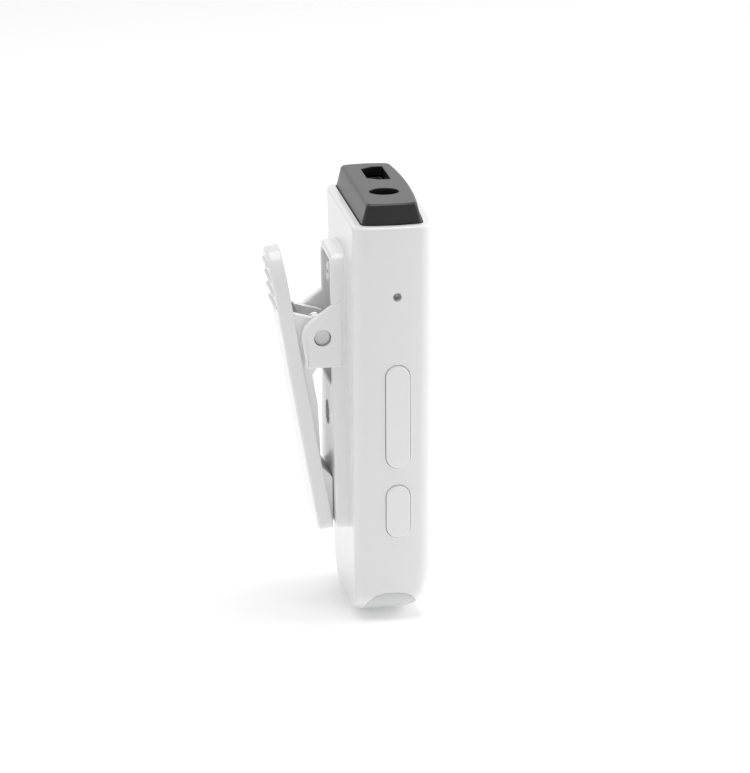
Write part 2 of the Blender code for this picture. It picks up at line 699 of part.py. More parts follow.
def headphone_socket():
    """Bored body with a metal collar at its mouth and two contacts on its back."""
    half = JACK_BODY_WIDTH / 2
    near, far = JACK_Y - JACK_BODY_DEPTH / 2, JACK_Y + JACK_BODY_DEPTH / 2
    collar_seat = SOCKET_TOP - COLLAR_HEIGHT
    body = block("jack_socket", (JACK_X - half, near, JACK_FLOOR),
                 (JACK_X + half, far, SOCKET_TOP), SOCKET_BLACK)
    centre = (JACK_X, JACK_Y)
    bore = [(JACK_FLOOR + JACK_BOTTOM, JACK_BORE_RADIUS), (collar_seat, JACK_BORE_RADIUS),
            (collar_seat, COLLAR_RADIUS + SEAT_GAP), (SOCKET_TOP + OVERSHOOT, COLLAR_RADIUS + SEAT_GAP)]
    cut(body, turned("bore", "Z", centre, bore, steps=CIRCLE_STEPS))
    collar = turned("jack_collar", "Z", centre, [(collar_seat + SEAT_GAP, COLLAR_RADIUS),
                    (SOCKET_TOP, COLLAR_RADIUS)], BRASS, steps=CIRCLE_STEPS)
    cut(collar, prism("bore", "Z", circle(centre, JACK_BORE_RADIUS), collar_seat,
                      SOCKET_TOP + OVERSHOOT))
    start = far + SEAT_GAP
    for name, side, length in (("jack_tip_contact", -1, TIP_CONTACT_LENGTH),
                               ("jack_sleeve_contact", 1, SLEEVE_CONTACT_LENGTH)):
        middle = JACK_X + side * (half - CONTACT_WIDTH / 2)
        block(name, (middle - CONTACT_WIDTH / 2, start, JACK_FLOOR),
              (middle + CONTACT_WIDTH / 2, start + CONTACT_THICK, JACK_FLOOR + length), BRASS)


def key_body(name, length, depth, place):
    """Stadium key with a rounded outer edge, about its own origin."""
    loops = []
    for i in range(EDGE_LEVELS + 1):
        angle = math.pi / 2 * i / EDGE_LEVELS
        shrink = 2 * KEY_EDGE_RADIUS * (1 - math.sin(angle))
        along = KEY_EDGE_RADIUS * (1 - math.cos(angle)) - KEY_PROUD
        loops.append([(along - place, y, z) for y, z in stadium(KEY_WIDTH - shrink, length - shrink)])
    loops.append([(depth - place, y, z) for y, z in stadium(KEY_WIDTH, length)])
    key = loft(name, loops, frame=SIDE_FRAME)
    return key


def nib(start, end, z, frame):
    half = NIB_SIDE / 2
    return block("nib", (start, -half, z - half), (end, half, z + half), frame=frame)


def volume_rocker():
    """Long key that tips on a pin through the lug on its back; its origin is on that pin."""
    key = key_body("volume_rocker", ROCKER_LENGTH, KEY_BACK, ROCKER_PIVOT)
    key.location = (ROCKER_PIVOT, 0.0, ROCKER_HEIGHT)
    inside = KEY_BACK - ROCKER_PIVOT
    overlap = KEY_EDGE_RADIUS
    lug = block("lug", (inside - overlap, -ROCKER_LUG_WIDTH / 2, -ROCKER_LUG_LENGTH / 2),
                (inside + ROCKER_LUG_DEPTH, ROCKER_LUG_WIDTH / 2, ROCKER_LUG_LENGTH / 2), frame=key)
    bore = circle((0.0, 0.0), ROCKER_PIN_RADIUS + PIN_CLEARANCE, SMALL_CIRCLE_STEPS)
    cut(lug, prism("bore", "Y", bore, -ROCKER_LUG_WIDTH, ROCKER_LUG_WIDTH, frame=key))
    join(key, lug)
    for side in (-1, 1):
        join(key, nib(inside - overlap, ROCKER_NIB_END - ROCKER_PIVOT,
                      side * ROCKER_NIB_SPACING / 2, key))
    key.data.materials.append(WHITE)
    reach = KEY_WIDTH / 2 + PART_GAP + PIN_EAR_THICK
    turned("rocker_pin", "Y", (ROCKER_PIVOT, ROCKER_HEIGHT),
           [(-reach, ROCKER_PIN_RADIUS), (reach, ROCKER_PIN_RADIUS)], STEEL, SIDE_FRAME)


def play_button():
    """Short key with a flange that keeps it in and a nib that presses its switch."""
    key = key_body("play_button", BUTTON_LENGTH, FLANGE_START + BUTTON_FLANGE, 0.0)
    key.location = (0.0, 0.0, BUTTON_HEIGHT)
    rim = 2 * BUTTON_FLANGE_RIM
    join(key, prism("flange", "X", stadium(KEY_WIDTH + rim, BUTTON_LENGTH + rim), FLANGE_START,
                    FLANGE_START + BUTTON_FLANGE, frame=key))
    join(key, nib(FLANGE_START, NIB_END, 0.0, key))
    key.data.materials.append(WHITE)


def key_switch(name, height):
    """Side-pressed switch with its stem towards the key."""
    base = COMPONENT_Y - KEY_LINE_Y
    body = block(name + "_switch", (SWITCH_START, base, height - SWITCH_LENGTH / 2),
                 (SWITCH_START + SWITCH_DEPTH, base + SWITCH_THICK, height + SWITCH_LENGTH / 2),
                 STEEL, SIDE_FRAME)
    middle = base + SWITCH_THICK / 2
    turned(name + "_stem", "X", (middle, height), [(STEM_START, STEM_RADIUS),
           (SWITCH_START - SEAT_GAP, STEM_RADIUS)], SOCKET_BLACK, SIDE_FRAME)
    return body


def microphone():
    """Mesh behind the hole, then a rubber boot, then the capsule."""
    centre = (0.0, MICROPHONE_HEIGHT)
    start = WALL + FIT_GAP
    turned("microphone_mesh", "X", centre, [(start, MESH_RADIUS), (start + MESH_THICK, MESH_RADIUS)],
           MESH_GREY, SIDE_FRAME)
    start += MESH_THICK + SEAT_GAP
    boot = turned("microphone_boot", "X", centre, [(start, BOOT_RADIUS),
                  (start + BOOT_LENGTH, BOOT_RADIUS)], RUBBER, SIDE_FRAME)
    cut(boot, prism("bore", "X", circle(centre, BOOT_BORE_RADIUS, SMALL_CIRCLE_STEPS),
                    start - OVERSHOOT, start + BOOT_LENGTH + OVERSHOOT, frame=SIDE_FRAME))
    start += BOOT_LENGTH + SEAT_GAP
    turned("microphone_capsule", "X", centre, [(start, CAPSULE_RADIUS),
           (start + CAPSULE_LENGTH, CAPSULE_RADIUS)], STEEL, SIDE_FRAME)


def circuit_board():
    """Board with tapered sides and a bay for the headphone socket."""
    low_half = side_x(BOARD_BOTTOM) - BOARD_EDGE
    high_half = side_x(BOARD_TOP) - BOARD_EDGE
    outline = [(-low_half, BOARD_BOTTOM), (low_half, BOARD_BOTTOM), (high_half, BOARD_TOP),
               (-high_half, BOARD_TOP)]
    board = prism("circuit_board", "Y", outline, BOARD_FRONT, BOARD_BACK)
    half = JACK_BODY_WIDTH / 2 + PART_GAP
    cut(board, block("bay", (JACK_X - half, BOARD_FRONT - OVERSHOOT, JACK_FLOOR - PART_GAP),
                     (JACK_X + half, BOARD_BACK + OVERSHOOT, BOARD_TOP + OVERSHOOT)))
    board.data.materials.append(BOARD_GREEN)


# Each component on the board: name, middle across, height above the lower screw, width, height,
# thickness and finish
COMPONENTS = [
    ("decoder_chip", DECODER_X, DECODER_RISE, DECODER_SIDE, DECODER_SIDE, CHIP_THICK, CHIP_BLACK),
    ("memory_chip", MEMORY_X, MEMORY_RISE, MEMORY_SIDE, MEMORY_SIDE, CHIP_THICK, CHIP_BLACK),
    ("radio_shield", SHIELD_X, SHIELD_RISE, SHIELD_WIDTH, SHIELD_HEIGHT, SHIELD_THICK, STEEL),
    ("charge_chip", CHARGE_CHIP_X, CHARGE_CHIP_RISE, CHARGE_CHIP_SIDE, CHARGE_CHIP_SIDE, CHIP_THICK,
     CHIP_BLACK),
    ("crystal", CRYSTAL_X, CRYSTAL_RISE, CRYSTAL_WIDTH, CRYSTAL_HEIGHT, CRYSTAL_THICK, STEEL),
    ("inductor", INDUCTOR_X, INDUCTOR_RISE, INDUCTOR_SIDE, INDUCTOR_SIDE, INDUCTOR_THICK, CHIP_BLACK),
]


def board_components():
    for name, x, rise, width, height, thick, material in COMPONENTS:
        z = LOWER_SCREW_Z + rise
        block(name, (x - width / 2, COMPONENT_Y, z - height / 2),
              (x + width / 2, COMPONENT_Y + thick, z + height / 2), material)
    far = side_x(BOARD_TOP - ANTENNA_DROP) - BOARD_EDGE - PART_GAP
    top = BOARD_TOP - ANTENNA_DROP
    block("chip_antenna", (far - ANTENNA_WIDTH, COMPONENT_Y, top - ANTENNA_LENGTH),
          (far, COMPONENT_Y + ANTENNA_WIDTH, top), CERAMIC)
    block("status_led", (-LED_LENGTH / 2, COMPONENT_Y, BOARD_BOTTOM),
          (LED_LENGTH / 2, COMPONENT_Y + LED_SIZE, BOARD_BOTTOM + LED_SIZE), CERAMIC)


BATTERY_X0 = BATTERY_NEAR - side_x(BATTERY_BOTTOM)
BATTERY_X1 = side_x(BATTERY_BOTTOM) - BATTERY_FAR
BATTERY_TOP = LOWER_SCREW_Z - BOSS_RADIUS - PART_GAP
BATTERY_BACK = INNER_BACK - TAPE_THICK - 2 * SEAT_GAP
CELL_BOARD_X1 = BATTERY_X1 - PART_GAP
CELL_BOARD_MIDDLE = BATTERY_BACK - BATTERY_THICK / 2


def battery():
    """Pouch cell stuck to the back wall, with its protection board on top."""
    front = BATTERY_BACK - BATTERY_THICK
    outline = rectangle((BATTERY_X0, front), (BATTERY_X1, BATTERY_BACK), BATTERY_CORNER_RADIUS)
    prism("battery_cell", "Z", outline, BATTERY_BOTTOM, BATTERY_TOP, CELL_SILVER)
    block("battery_tape",
          (BATTERY_X0 + TAPE_MARGIN, BATTERY_BACK + SEAT_GAP, BATTERY_BOTTOM + TAPE_MARGIN),
          (BATTERY_X1 - TAPE_MARGIN, BATTERY_BACK + SEAT_GAP + TAPE_THICK, BATTERY_TOP - TAPE_MARGIN),
          TAPE_WHITE)
    foot = BATTERY_TOP + SEAT_GAP
    block("battery_board", (CELL_BOARD_X1 - CELL_BOARD_WIDTH, CELL_BOARD_MIDDLE - CELL_BOARD_THICK / 2, foot),
          (CELL_BOARD_X1, CELL_BOARD_MIDDLE + CELL_BOARD_THICK / 2, foot + CELL_BOARD_HEIGHT), BOARD_GREEN)


def tube(name, points, radius, resolution, material, frame=None):
    """Round wire along points, with closed ends."""
    curve = bpy.data.curves.new(name, "CURVE")
    curve.dimensions = "3D"
    curve.bevel_depth = radius
    curve.bevel_resolution = resolution
    curve.use_fill_caps = True
    spline = curve.splines.new("POLY")
    spline.points.add(len(points) - 1)
    for knot, point in zip(spline.points, points):
        knot.co = (*point, 1.0)
    return add_object(name, curve, material, frame)


def battery_lead(name, x, material):
    """Lead that rises from the protection board and bends down to the circuit board."""
    start = Vector((x, CELL_BOARD_MIDDLE, BATTERY_TOP + SEAT_GAP + CELL_BOARD_HEIGHT + PART_GAP))
    end = Vector((x, BOARD_BACK + PART_GAP, start.z + LEAD_CLIMB))
    rise = Vector((0.0, 0.0, LEAD_BOW))
    level = Vector((0.0, LEAD_CLIMB, 0.0))
    points = []
    for i in range(LEAD_STEPS + 1):
        t = i / LEAD_STEPS
        points.append(start * (1 - t) ** 3 + (start + rise) * 3 * t * (1 - t) ** 2
                      + (end + level) * 3 * t ** 2 * (1 - t) + end * t ** 3)
    tube(name, points, LEAD_RADIUS, 1, material)


def ear_outline():
    """Ear outline in depth and height: round about the pin, sloping down to the clip's top."""
    slope_foot = Vector((BACK_Y + EAR_ROOT, PIVOT_Z + EAR_RISE))
    centre = Vector((PIVOT_Y, PIVOT_Z))
    run = slope_foot - centre
    tangent = math.atan2(run.y, run.x) - math.acos(EAR_RADIUS / run.length)
    nose = arc(centre, EAR_RADIUS, tangent, 0.0, 2 * CORNER_STEPS)
    foot = rounded([(nose[-1], 0.0), ((CLIP_FACE + EAR_FOOT, PIVOT_Z - EAR_FALL), EAR_CORNER_RADIUS),
                    ((slope_foot.x, PIVOT_Z - EAR_FALL), 0.0)])
    return [tuple(slope_foot)] + nose[:-1] + foot


def clip_base():
    """Plate screwed to the back, with a rimmed channel, two ears and a lower screw well."""
    base = prism("clip_base", "Y", clip_outline(0.0), CLIP_SEAT, CLIP_FACE)
    channel_top = CLIP_TOP - CHANNEL_RIM
    radius = CHANNEL_RADIUS
    low, high = channel_top - CHANNEL_LENGTH, channel_top
    half = CHANNEL_HALF_WIDTH
    channel = rounded([((-half, low), radius), ((half, low), radius), ((half, high), radius),
                       ((-half, high), radius)])
    cut(base, prism("channel", "Y", channel, CHANNEL_FLOOR, CLIP_FACE + OVERSHOOT))
    for side in (-1, 1):
        edges = sorted((side * CHANNEL_HALF_WIDTH, side * (CLIP_HALF_WIDTH + EAR_PROUD)))
        join(base, prism("ear", "X", ear_outline(), edges[0], edges[1]))
    bore = circle((PIVOT_Y, PIVOT_Z), CLIP_PIN_RADIUS + PIN_CLEARANCE)
    reach = CLIP_HALF_WIDTH + OVERSHOOT
    cut(base, prism("bore", "X", bore, -reach, reach))
    cut(base, screw_hole(LOWER_SCREW_Z, SCREW_HEAD_RADIUS + COUNTERBORE_GAP, CHANNEL_FLOOR,
                         CLIP_FACE + OVERSHOOT))
    for z in (UPPER_SCREW_Z, LOWER_SCREW_Z):
        cut(base, screw_hole(z, SCREW_RADIUS + SCREW_HOLE_GAP, CLIP_SEAT - OVERSHOOT,
                             CLIP_FACE + OVERSHOOT))
    base.data.materials.append(WHITE)


def clip_screw(name, z):
    """Pan-head screw with a cross slot, driven towards -Y."""
    tip = HEAD_SEAT - SCREW_LENGTH
    head_top = HEAD_SEAT + SCREW_HEAD_THICK
    profile = [(tip - SCREW_TIP, SCREW_RADIUS / 3), (tip, SCREW_RADIUS), (HEAD_SEAT, SCREW_RADIUS),
               (HEAD_SEAT, SCREW_HEAD_RADIUS), (head_top - SCREW_HEAD_THICK / 3, SCREW_HEAD_RADIUS),
               (head_top, SCREW_HEAD_RADIUS - SCREW_HEAD_THICK / 3)]
    screw = turned(name, "Y", (0.0, z), profile)
    reach = SCREW_SLOT_REACH
    half = SCREW_SLOT_WIDTH / 2
    for across, up in ((reach, half), (half, reach)):
        cut(screw, block("slot", (-across, head_top - SCREW_SLOT_DEPTH, z - up),
                         (across, head_top + OVERSHOOT, z + up)))
    screw.data.materials.append(STEEL)


LEVER_FRAME = add_frame("lever_pivot", Matrix.Translation((0.0, PIVOT_Y, PIVOT_Z))
                        @ Matrix.Rotation(-LEVER_LEAN, 4, "X"))


def jaw_line(along):
    """Depth, in the lever's frame, of the plane where the tooth meets the clip base."""
    return (JAW_GAP - PIVOT_HEIGHT - along * math.sin(LEVER_LEAN)) / math.cos(LEVER_LEAN)


def lever_lug(side):
    """Lug round the pin, with the rib that stiffens the lever below it."""
    top_run = Vector((LEVER_OFFSET, LUG_ROOT_UP))
    low_run = Vector((LEVER_OFFSET, -LUG_ROOT_DOWN))
    start = math.atan2(top_run.y, top_run.x) + math.acos(LUG_RADIUS / top_run.length)
    end = math.atan2(low_run.y, low_run.x) - math.acos(LUG_RADIUS / low_run.length)
    nose = arc((0.0, 0.0), LUG_RADIUS, start, end + 2 * math.pi, 3 * CORNER_STEPS)
    sink = LEVER_OFFSET + LEVER_THICK / 2
    rib_face = LEVER_OFFSET - RIB_HEIGHT
    outline = nose + [(rib_face, -LUG_ROOT_DOWN), (rib_face, -LUG_ROOT_DOWN - RIB_START),
                      (LEVER_OFFSET, -RIB_END), (sink, -RIB_END), (sink, LUG_ROOT_UP),
                      (LEVER_OFFSET, LUG_ROOT_UP)]
    edges = sorted((side * LUG_INNER, side * (LUG_INNER + LUG_THICK)))
    return prism("lug", "X", outline, edges[0], edges[1], frame=LEVER_FRAME)


def lever_half_width(along):
    """Half width of the lever's round thumb end at a distance above the pin."""
    rise = (along - LEVER_UPPER) / LEVER_TOP_HEIGHT + 1
    return LEVER_HALF_WIDTH * math.sqrt(1 - max(rise, 0.0) ** 2)


def lever_outline():
    """Lever outline: a round thumb end, and sides that flare from the lugs to the jaw."""
    corner = LEVER_HALF_WIDTH + LEVER_FLARE
    low = rounded([((-LEVER_HALF_WIDTH, -LUG_ROOT_DOWN), 0.0), ((-corner, -LEVER_LOWER), LEVER_BOTTOM_RADIUS),
                   ((corner, -LEVER_LOWER), LEVER_BOTTOM_RADIUS), ((LEVER_HALF_WIDTH, -LUG_ROOT_DOWN), 0.0)])
    crown = arc((0.0, 0.0), 1.0, 0.0, math.pi, 4 * CORNER_STEPS)
    return low + [(LEVER_HALF_WIDTH * x, LEVER_UPPER + LEVER_TOP_HEIGHT * (z - 1)) for x, z in crown]


def clip_lever():
    """Sprung lever, drawn upright about the pin and leaned by its frame."""
    face = LEVER_OFFSET + LEVER_THICK
    lever = prism("clip_lever", "Y", lever_outline(), LEVER_OFFSET, face, frame=LEVER_FRAME)
    for side in (-1, 1):
        join(lever, lever_lug(side))
    sink = LEVER_OFFSET + LEVER_THICK / 2
    tooth = [(jaw_line(-LEVER_LOWER), -LEVER_LOWER), (sink, -LEVER_LOWER), (sink, -TOOTH_START),
             (LEVER_OFFSET, -TOOTH_START), (jaw_line(-TOOTH_CREST), -TOOTH_CREST)]
    join(lever, prism("tooth", "X", tooth, -TOOTH_HALF_WIDTH, TOOTH_HALF_WIDTH, frame=LEVER_FRAME))
    bore = circle((0.0, 0.0), CLIP_PIN_RADIUS + PIN_CLEARANCE)
    cut(lever, prism("bore", "X", bore, -LEVER_HALF_WIDTH, LEVER_HALF_WIDTH, frame=LEVER_FRAME))
    for i in range(RIDGE_COUNT):
        z = RIDGE_FIRST + i * RIDGE_PITCH
        ridge_half = lever_half_width(z + RIDGE_WIDTH / 2) - RIDGE_MARGIN
        ridge = [(face - RIDGE_HEIGHT, z - RIDGE_WIDTH / 2), (face, z - RIDGE_WIDTH / 2),
                 (face + RIDGE_HEIGHT, z - RIDGE_WIDTH / 6), (face + RIDGE_HEIGHT, z + RIDGE_WIDTH / 6),
                 (face, z + RIDGE_WIDTH / 2), (face - RIDGE_HEIGHT, z + RIDGE_WIDTH / 2)]
        join(lever, prism("ridge", "X", ridge, -ridge_half, ridge_half, frame=LEVER_FRAME))
    lever.data.materials.append(WHITE)


def clip_pin():
    end = CLIP_HALF_WIDTH + EAR_PROUD - CLIP_PIN_SINK
    neck = CLIP_PIN_RADIUS - CLIP_PIN_CHAMFER
    shoulder = end - CLIP_PIN_CHAMFER
    turned("clip_pin", "X", (PIVOT_Y, PIVOT_Z), [(-end, neck), (-shoulder, CLIP_PIN_RADIUS),
           (shoulder, CLIP_PIN_RADIUS), (end, neck)], STEEL, steps=CIRCLE_STEPS)


def spring_points():
    """Torsion spring about the pin: one leg on the channel floor, turns, one leg on the lever."""
    floor_leg = CHANNEL_FLOOR + LEG_CLEARANCE + WIRE_RADIUS - PIVOT_Y
    lever_leg_angle = math.pi / 2 - LEVER_LEAN
    start = math.pi
    turns = COIL_TURNS - 1 / 2
    count = round(COIL_POINTS * turns)
    coil = []
    for i in range(count + 1):
        angle = start - 2 * math.pi * turns * i / count
        coil.append((COIL_PITCH * turns * (i / count - 1 / 2),
                     COIL_RADIUS * math.cos(angle), COIL_RADIUS * math.sin(angle)))
    low_leg = (coil[0][0], floor_leg, SPRING_LEG)
    reach = LEVER_OFFSET - LEG_CLEARANCE - WIRE_RADIUS
    along = Vector((0.0, math.cos(lever_leg_angle), math.sin(lever_leg_angle)))
    outward = Vector((0.0, math.cos(LEVER_LEAN), -math.sin(LEVER_LEAN)))
    high_leg = Vector((coil[-1][0], 0.0, 0.0)) + along * SPRING_LEG + outward * reach
    points = [Vector(low_leg)] + [Vector(point) for point in coil] + [high_leg]
    return [Vector((0.0, PIVOT_Y, PIVOT_Z)) + point for point in points]


def clip_spring():
    points = spring_points()
    gap = min((a - b).length for i, a in enumerate(points)
              for b in points[i + COIL_POINTS // 2:]) - 2 * WIRE_RADIUS
    print("clip spring: least gap to itself", round(gap * 1000, 3), "mm")
    tube("clip_spring", points, WIRE_RADIUS, 1, STEEL)


case_shell()
light_window()
top_cap()
charging_socket()
headphone_socket()
volume_rocker()
play_button()
key_switch("volume_up", ROCKER_HEIGHT + ROCKER_NIB_SPACING / 2)
key_switch("volume_down", ROCKER_HEIGHT - ROCKER_NIB_SPACING / 2)
key_switch("play", BUTTON_HEIGHT)
microphone()
circuit_board()
board_components()
battery()
battery_lead("positive_lead", CELL_BOARD_X1 - LEAD_SPACING, LEAD_RED)
battery_lead("negative_lead", CELL_BOARD_X1 - 2 * LEAD_SPACING, LEAD_BLACK)
clip_base()
clip_pin()
clip_spring()
clip_lever()
clip_screw("clip_screw_upper", UPPER_SCREW_Z)
clip_screw("clip_screw_lower", LOWER_SCREW_Z)
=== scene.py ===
"""Looks of the clip-on audio player: smooth shells, finishes, studio light and camera."""
import json
import math

import bmesh
import bpy
from mathutils import Matrix, Vector


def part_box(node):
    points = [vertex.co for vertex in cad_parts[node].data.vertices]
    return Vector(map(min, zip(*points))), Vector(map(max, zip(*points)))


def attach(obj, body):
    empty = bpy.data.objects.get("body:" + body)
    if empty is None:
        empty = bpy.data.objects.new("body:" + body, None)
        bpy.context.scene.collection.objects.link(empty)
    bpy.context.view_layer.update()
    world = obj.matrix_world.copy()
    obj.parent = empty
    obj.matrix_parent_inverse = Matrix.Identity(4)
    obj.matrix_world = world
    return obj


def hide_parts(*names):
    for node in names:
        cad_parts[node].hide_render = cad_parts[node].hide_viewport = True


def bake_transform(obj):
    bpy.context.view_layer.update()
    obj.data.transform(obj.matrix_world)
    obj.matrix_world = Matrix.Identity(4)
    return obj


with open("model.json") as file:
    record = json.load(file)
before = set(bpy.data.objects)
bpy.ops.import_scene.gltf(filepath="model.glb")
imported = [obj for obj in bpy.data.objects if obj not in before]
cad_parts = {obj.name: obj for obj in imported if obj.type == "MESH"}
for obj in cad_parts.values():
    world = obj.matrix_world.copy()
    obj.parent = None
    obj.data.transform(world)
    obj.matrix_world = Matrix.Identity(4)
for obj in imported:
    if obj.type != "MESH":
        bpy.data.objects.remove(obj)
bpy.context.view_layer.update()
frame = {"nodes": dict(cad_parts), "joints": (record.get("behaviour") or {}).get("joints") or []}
hinges = {joint["name"]: joint for joint in frame["joints"]}

# Case, in metres
BODY_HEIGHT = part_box("case_shell")[1].z
BODY_WIDTH = 0.0266
BODY_DEPTH = 0.0102
SIDE_TAPER = 0.0025
FRONT_LEAN = 0.0003
FRONT_CROWN = 0.0006
SIDE_CROWN = 0.0004
FRONT_CORNER_RADIUS = 0.0018
BACK_CORNER_RADIUS = 0.0019
INNER_CORNER_RADIUS = 0.0007
BOTTOM_FRONT_HEIGHT = 0.0080
BOTTOM_FRONT_DEPTH = 0.0040
BOTTOM_BACK_RADIUS = 0.0007
BOTTOM_SIDE_HEIGHT = 0.0036
BOTTOM_SIDE_DEPTH = 0.0085
TOP_EDGE_RADIUS = 0.0005
WALL = 0.0011
BACK_Y = BODY_DEPTH / 2
SEAM = 0.00003
OVERSHOOT = 0.001

# End cap and its openings
CAP_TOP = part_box("top_cap")[1].z
CAP_PLUG = 0.0026
CAP_INSET = 0.00122
CAP_TAPER = 0.0006
CAP_SIDE_TAPER = 0.00015
CAP_EDGE_RADIUS = 0.00045
CAP_CORNER_RADIUS = 0.0005
CAP_WALL = 0.0008
CAP_ROOF = 0.0012
OPENING_EDGE = 0.0001
USB_CORNER_RADIUS = 0.0003
USB_NARROWING = 0.00096
USB_OPENING_GAP = 0.00012
JACK_OPENING_RADIUS = 0.0019
CONTACT_COUNT = 5
CONTACT_WIDTH = 0.0003
CONTACT_THICK = 0.00006

# Keys and microphone hole
KEY_LINE_Y = -0.0004
KEY_WIDTH = 0.0031
KEY_PROUD = 0.00025
KEY_GAP = 0.00008
KEY_EDGE_RADIUS = 0.0002
KEY_RIM = 0.00005
ROCKER_LENGTH = 0.01376
ROCKER_HEIGHT = 0.0278
KEY_SPACING = 0.00237
BUTTON_LENGTH = 0.0071
BUTTON_HEIGHT = ROCKER_HEIGHT - ROCKER_LENGTH / 2 - KEY_SPACING - BUTTON_LENGTH / 2
ROCKER_BACK = 0.0018
ROCKER_PIVOT = 0.0025
ROCKER_LUG = 0.0018
ROCKER_LUG_END = 0.0032
ROCKER_BORE_RADIUS = 0.00042
ROCKER_NIB_SPACING = 0.0092
ROCKER_NIB_END = 0.00277
NIB_SIDE = 0.0014
FLANGE_START = 0.0014
FLANGE_END = 0.0020
FLANGE_RIM = 0.0006
BUTTON_NIB_END = 0.0026
MICROPHONE_DROP = 0.0092
MICROPHONE_HOLE_RADIUS = 0.00055
WEAVE_COUNT = 15
WEAVE_RADIUS = 0.00004
WEAVE_SIDES = 8
SIDE_ANGLE = math.atan(SIDE_TAPER / BODY_HEIGHT)

# Bottom window
WINDOW_HALF_WIDTH = 0.0035
WINDOW_HEIGHT = 0.0038
WINDOW_Y = 0.0004
WINDOW_SQUARENESS = 0.72

# Clip base
CLIP_LOW, CLIP_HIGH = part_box("clip_base")
CLIP_TOP = CLIP_HIGH.z
CLIP_BOTTOM = CLIP_LOW.z
CLIP_SEAT = CLIP_LOW.y
CLIP_THICK = 0.0019
CLIP_FACE = BACK_Y + CLIP_THICK
CLIP_HALF_WIDTH = 0.0052
CLIP_FLARE = 0.0021
CLIP_TOP_RADIUS = 0.0022
CLIP_BOTTOM_RADIUS = 0.0010
CLIP_EDGE_RADIUS = 0.00045
CLIP_FILLET = 0.0003
CHANNEL_RIM = 0.0012
CHANNEL_DEPTH = 0.0010
CHANNEL_FLOOR = CLIP_FACE - CHANNEL_DEPTH
CHANNEL_RADIUS = 0.0010
CHANNEL_LENGTH = 0.0165
CHANNEL_EDGE = 0.0003
PIVOT = Vector(hinges["clip_hinge"]["pos_m"])
EAR_RADIUS = 0.00265
EAR_RISE = 0.0051
EAR_FALL = 0.0040
EAR_FOOT = 0.0033
EAR_CORNER_RADIUS = 0.0003
EAR_ROOT = 0.00045
EAR_PROUD = 0.00015
EAR_EDGE = 0.00035
CLIP_PIN_RADIUS = 0.00105
PIN_CLEARANCE = 0.00007
CLIP_PIN_SINK = 0.0006
CLIP_PIN_CHAMFER = 0.00015
SCREW_CLEARANCE = 0.00085
SCREW_WELL_RADIUS = 0.0016

# Clip screws
SCREW_RADIUS = 0.0006
SCREW_HEAD_RADIUS = 0.0013
SCREW_HEAD_HEIGHT = 0.0007
SCREW_HEAD_EDGE = 0.00015
SCREW_SLOT = 0.0004
SCREW_SLOT_REACH = 0.0009

# Clip lever, upright about its pin
LEVER_OFFSET = 0.0030
LEVER_THICK = 0.00195
LEVER_FACE = LEVER_OFFSET + LEVER_THICK
LEVER_MIDDLE = LEVER_OFFSET + LEVER_THICK / 2
LEVER_HALF_WIDTH = 0.0041
LEVER_FLARE = 0.0015
LEVER_UPPER = 0.0120
LEVER_LOWER = 0.0254
LEVER_TOP_HEIGHT = 0.0050
LEVER_BOTTOM_RADIUS = 0.0010
LEVER_OUTER_EDGE = 0.0005
LEVER_INNER_EDGE = 0.0002
JAW_GAP = 0.00011
LUG_INNER = 0.0025
LUG_THICK = 0.0012
LUG_RADIUS = 0.0019
LUG_ROOT_UP = 0.0035
LUG_ROOT_DOWN = 0.0050
RIB_HEIGHT = 0.0010
RIB_START = 0.0040
RIB_END = 0.0170
TOOTH_HALF_WIDTH = 0.0046
TOOTH_CREST = 0.0188
TOOTH_START = 0.0172
RIDGE_COUNT = 4
RIDGE_FIRST = 0.0046
RIDGE_PITCH = 0.0018
RIDGE_WIDTH = 0.0008
RIDGE_CORNER_RADIUS = RIDGE_WIDTH / 3
RIDGE_HEIGHT = 0.0003
RIDGE_MARGIN = 0.0009
RIDGE_EDGE = 0.00028
PIVOT_HEIGHT = PIVOT.y - CLIP_FACE
LEVER_LEAN = (math.acos((JAW_GAP - PIVOT_HEIGHT) / math.hypot(LEVER_OFFSET, LEVER_LOWER))
              - math.atan2(LEVER_LOWER, LEVER_OFFSET))

# Spring
WIRE_RADIUS = 0.00025
COIL_RADIUS = 0.0015
COIL_PITCH = 0.00098
COIL_TURNS = 3.5
COIL_POINTS = 32
SPRING_LEG = 0.0036
LEG_CLEARANCE = 0.00015

# Steps of the curves and limits of their corners
CORNER_STEPS = 10
CIRCLE_STEPS = 64
SIDE_POINTS = 16
FACE_POINTS = 24
BOTTOM_LEVELS = 28
EDGE_STEPS = 5
WIRE_SIDES = 4
SHARP_ANGLE = math.radians(32)
STRAIGHT_LIMIT = 1e-6
MITRE_LIMIT = 0.4

SIDE_PLACE = (Matrix.Translation((SIDE_TAPER - BODY_WIDTH / 2, KEY_LINE_Y, 0.0))
              @ Matrix.Rotation(-SIDE_ANGLE, 4, "Y"))
LEVER_PLACE = Matrix.Translation(PIVOT) @ Matrix.Rotation(-LEVER_LEAN, 4, "X")


def add_object(name, data):
    """New object in the scene for a mesh, a curve, a lamp or a camera."""
    piece = bpy.data.objects.new(name, data)
    bpy.context.scene.collection.objects.link(piece)
    return piece


def loft(name, loops, place=None):
    """Closed solid through loops of equal length, capped at both ends, with its place in its mesh."""
    shape = bmesh.new()
    rings = [[shape.verts.new(point) for point in loop] for loop in loops]
    for lower, upper in zip(rings, rings[1:]):
        for i, corner in enumerate(lower):
            j = (i + 1) % len(lower)
            shape.faces.new((corner, lower[j], upper[j], upper[i]))
    shape.faces.new(list(reversed(rings[0])))
    shape.faces.new(rings[-1])
    bmesh.ops.recalc_face_normals(shape, faces=shape.faces)
    mesh = bpy.data.meshes.new(name)
    shape.to_mesh(mesh)
    shape.free()
    if place is not None:
        mesh.transform(place)
    return add_object(name, mesh)


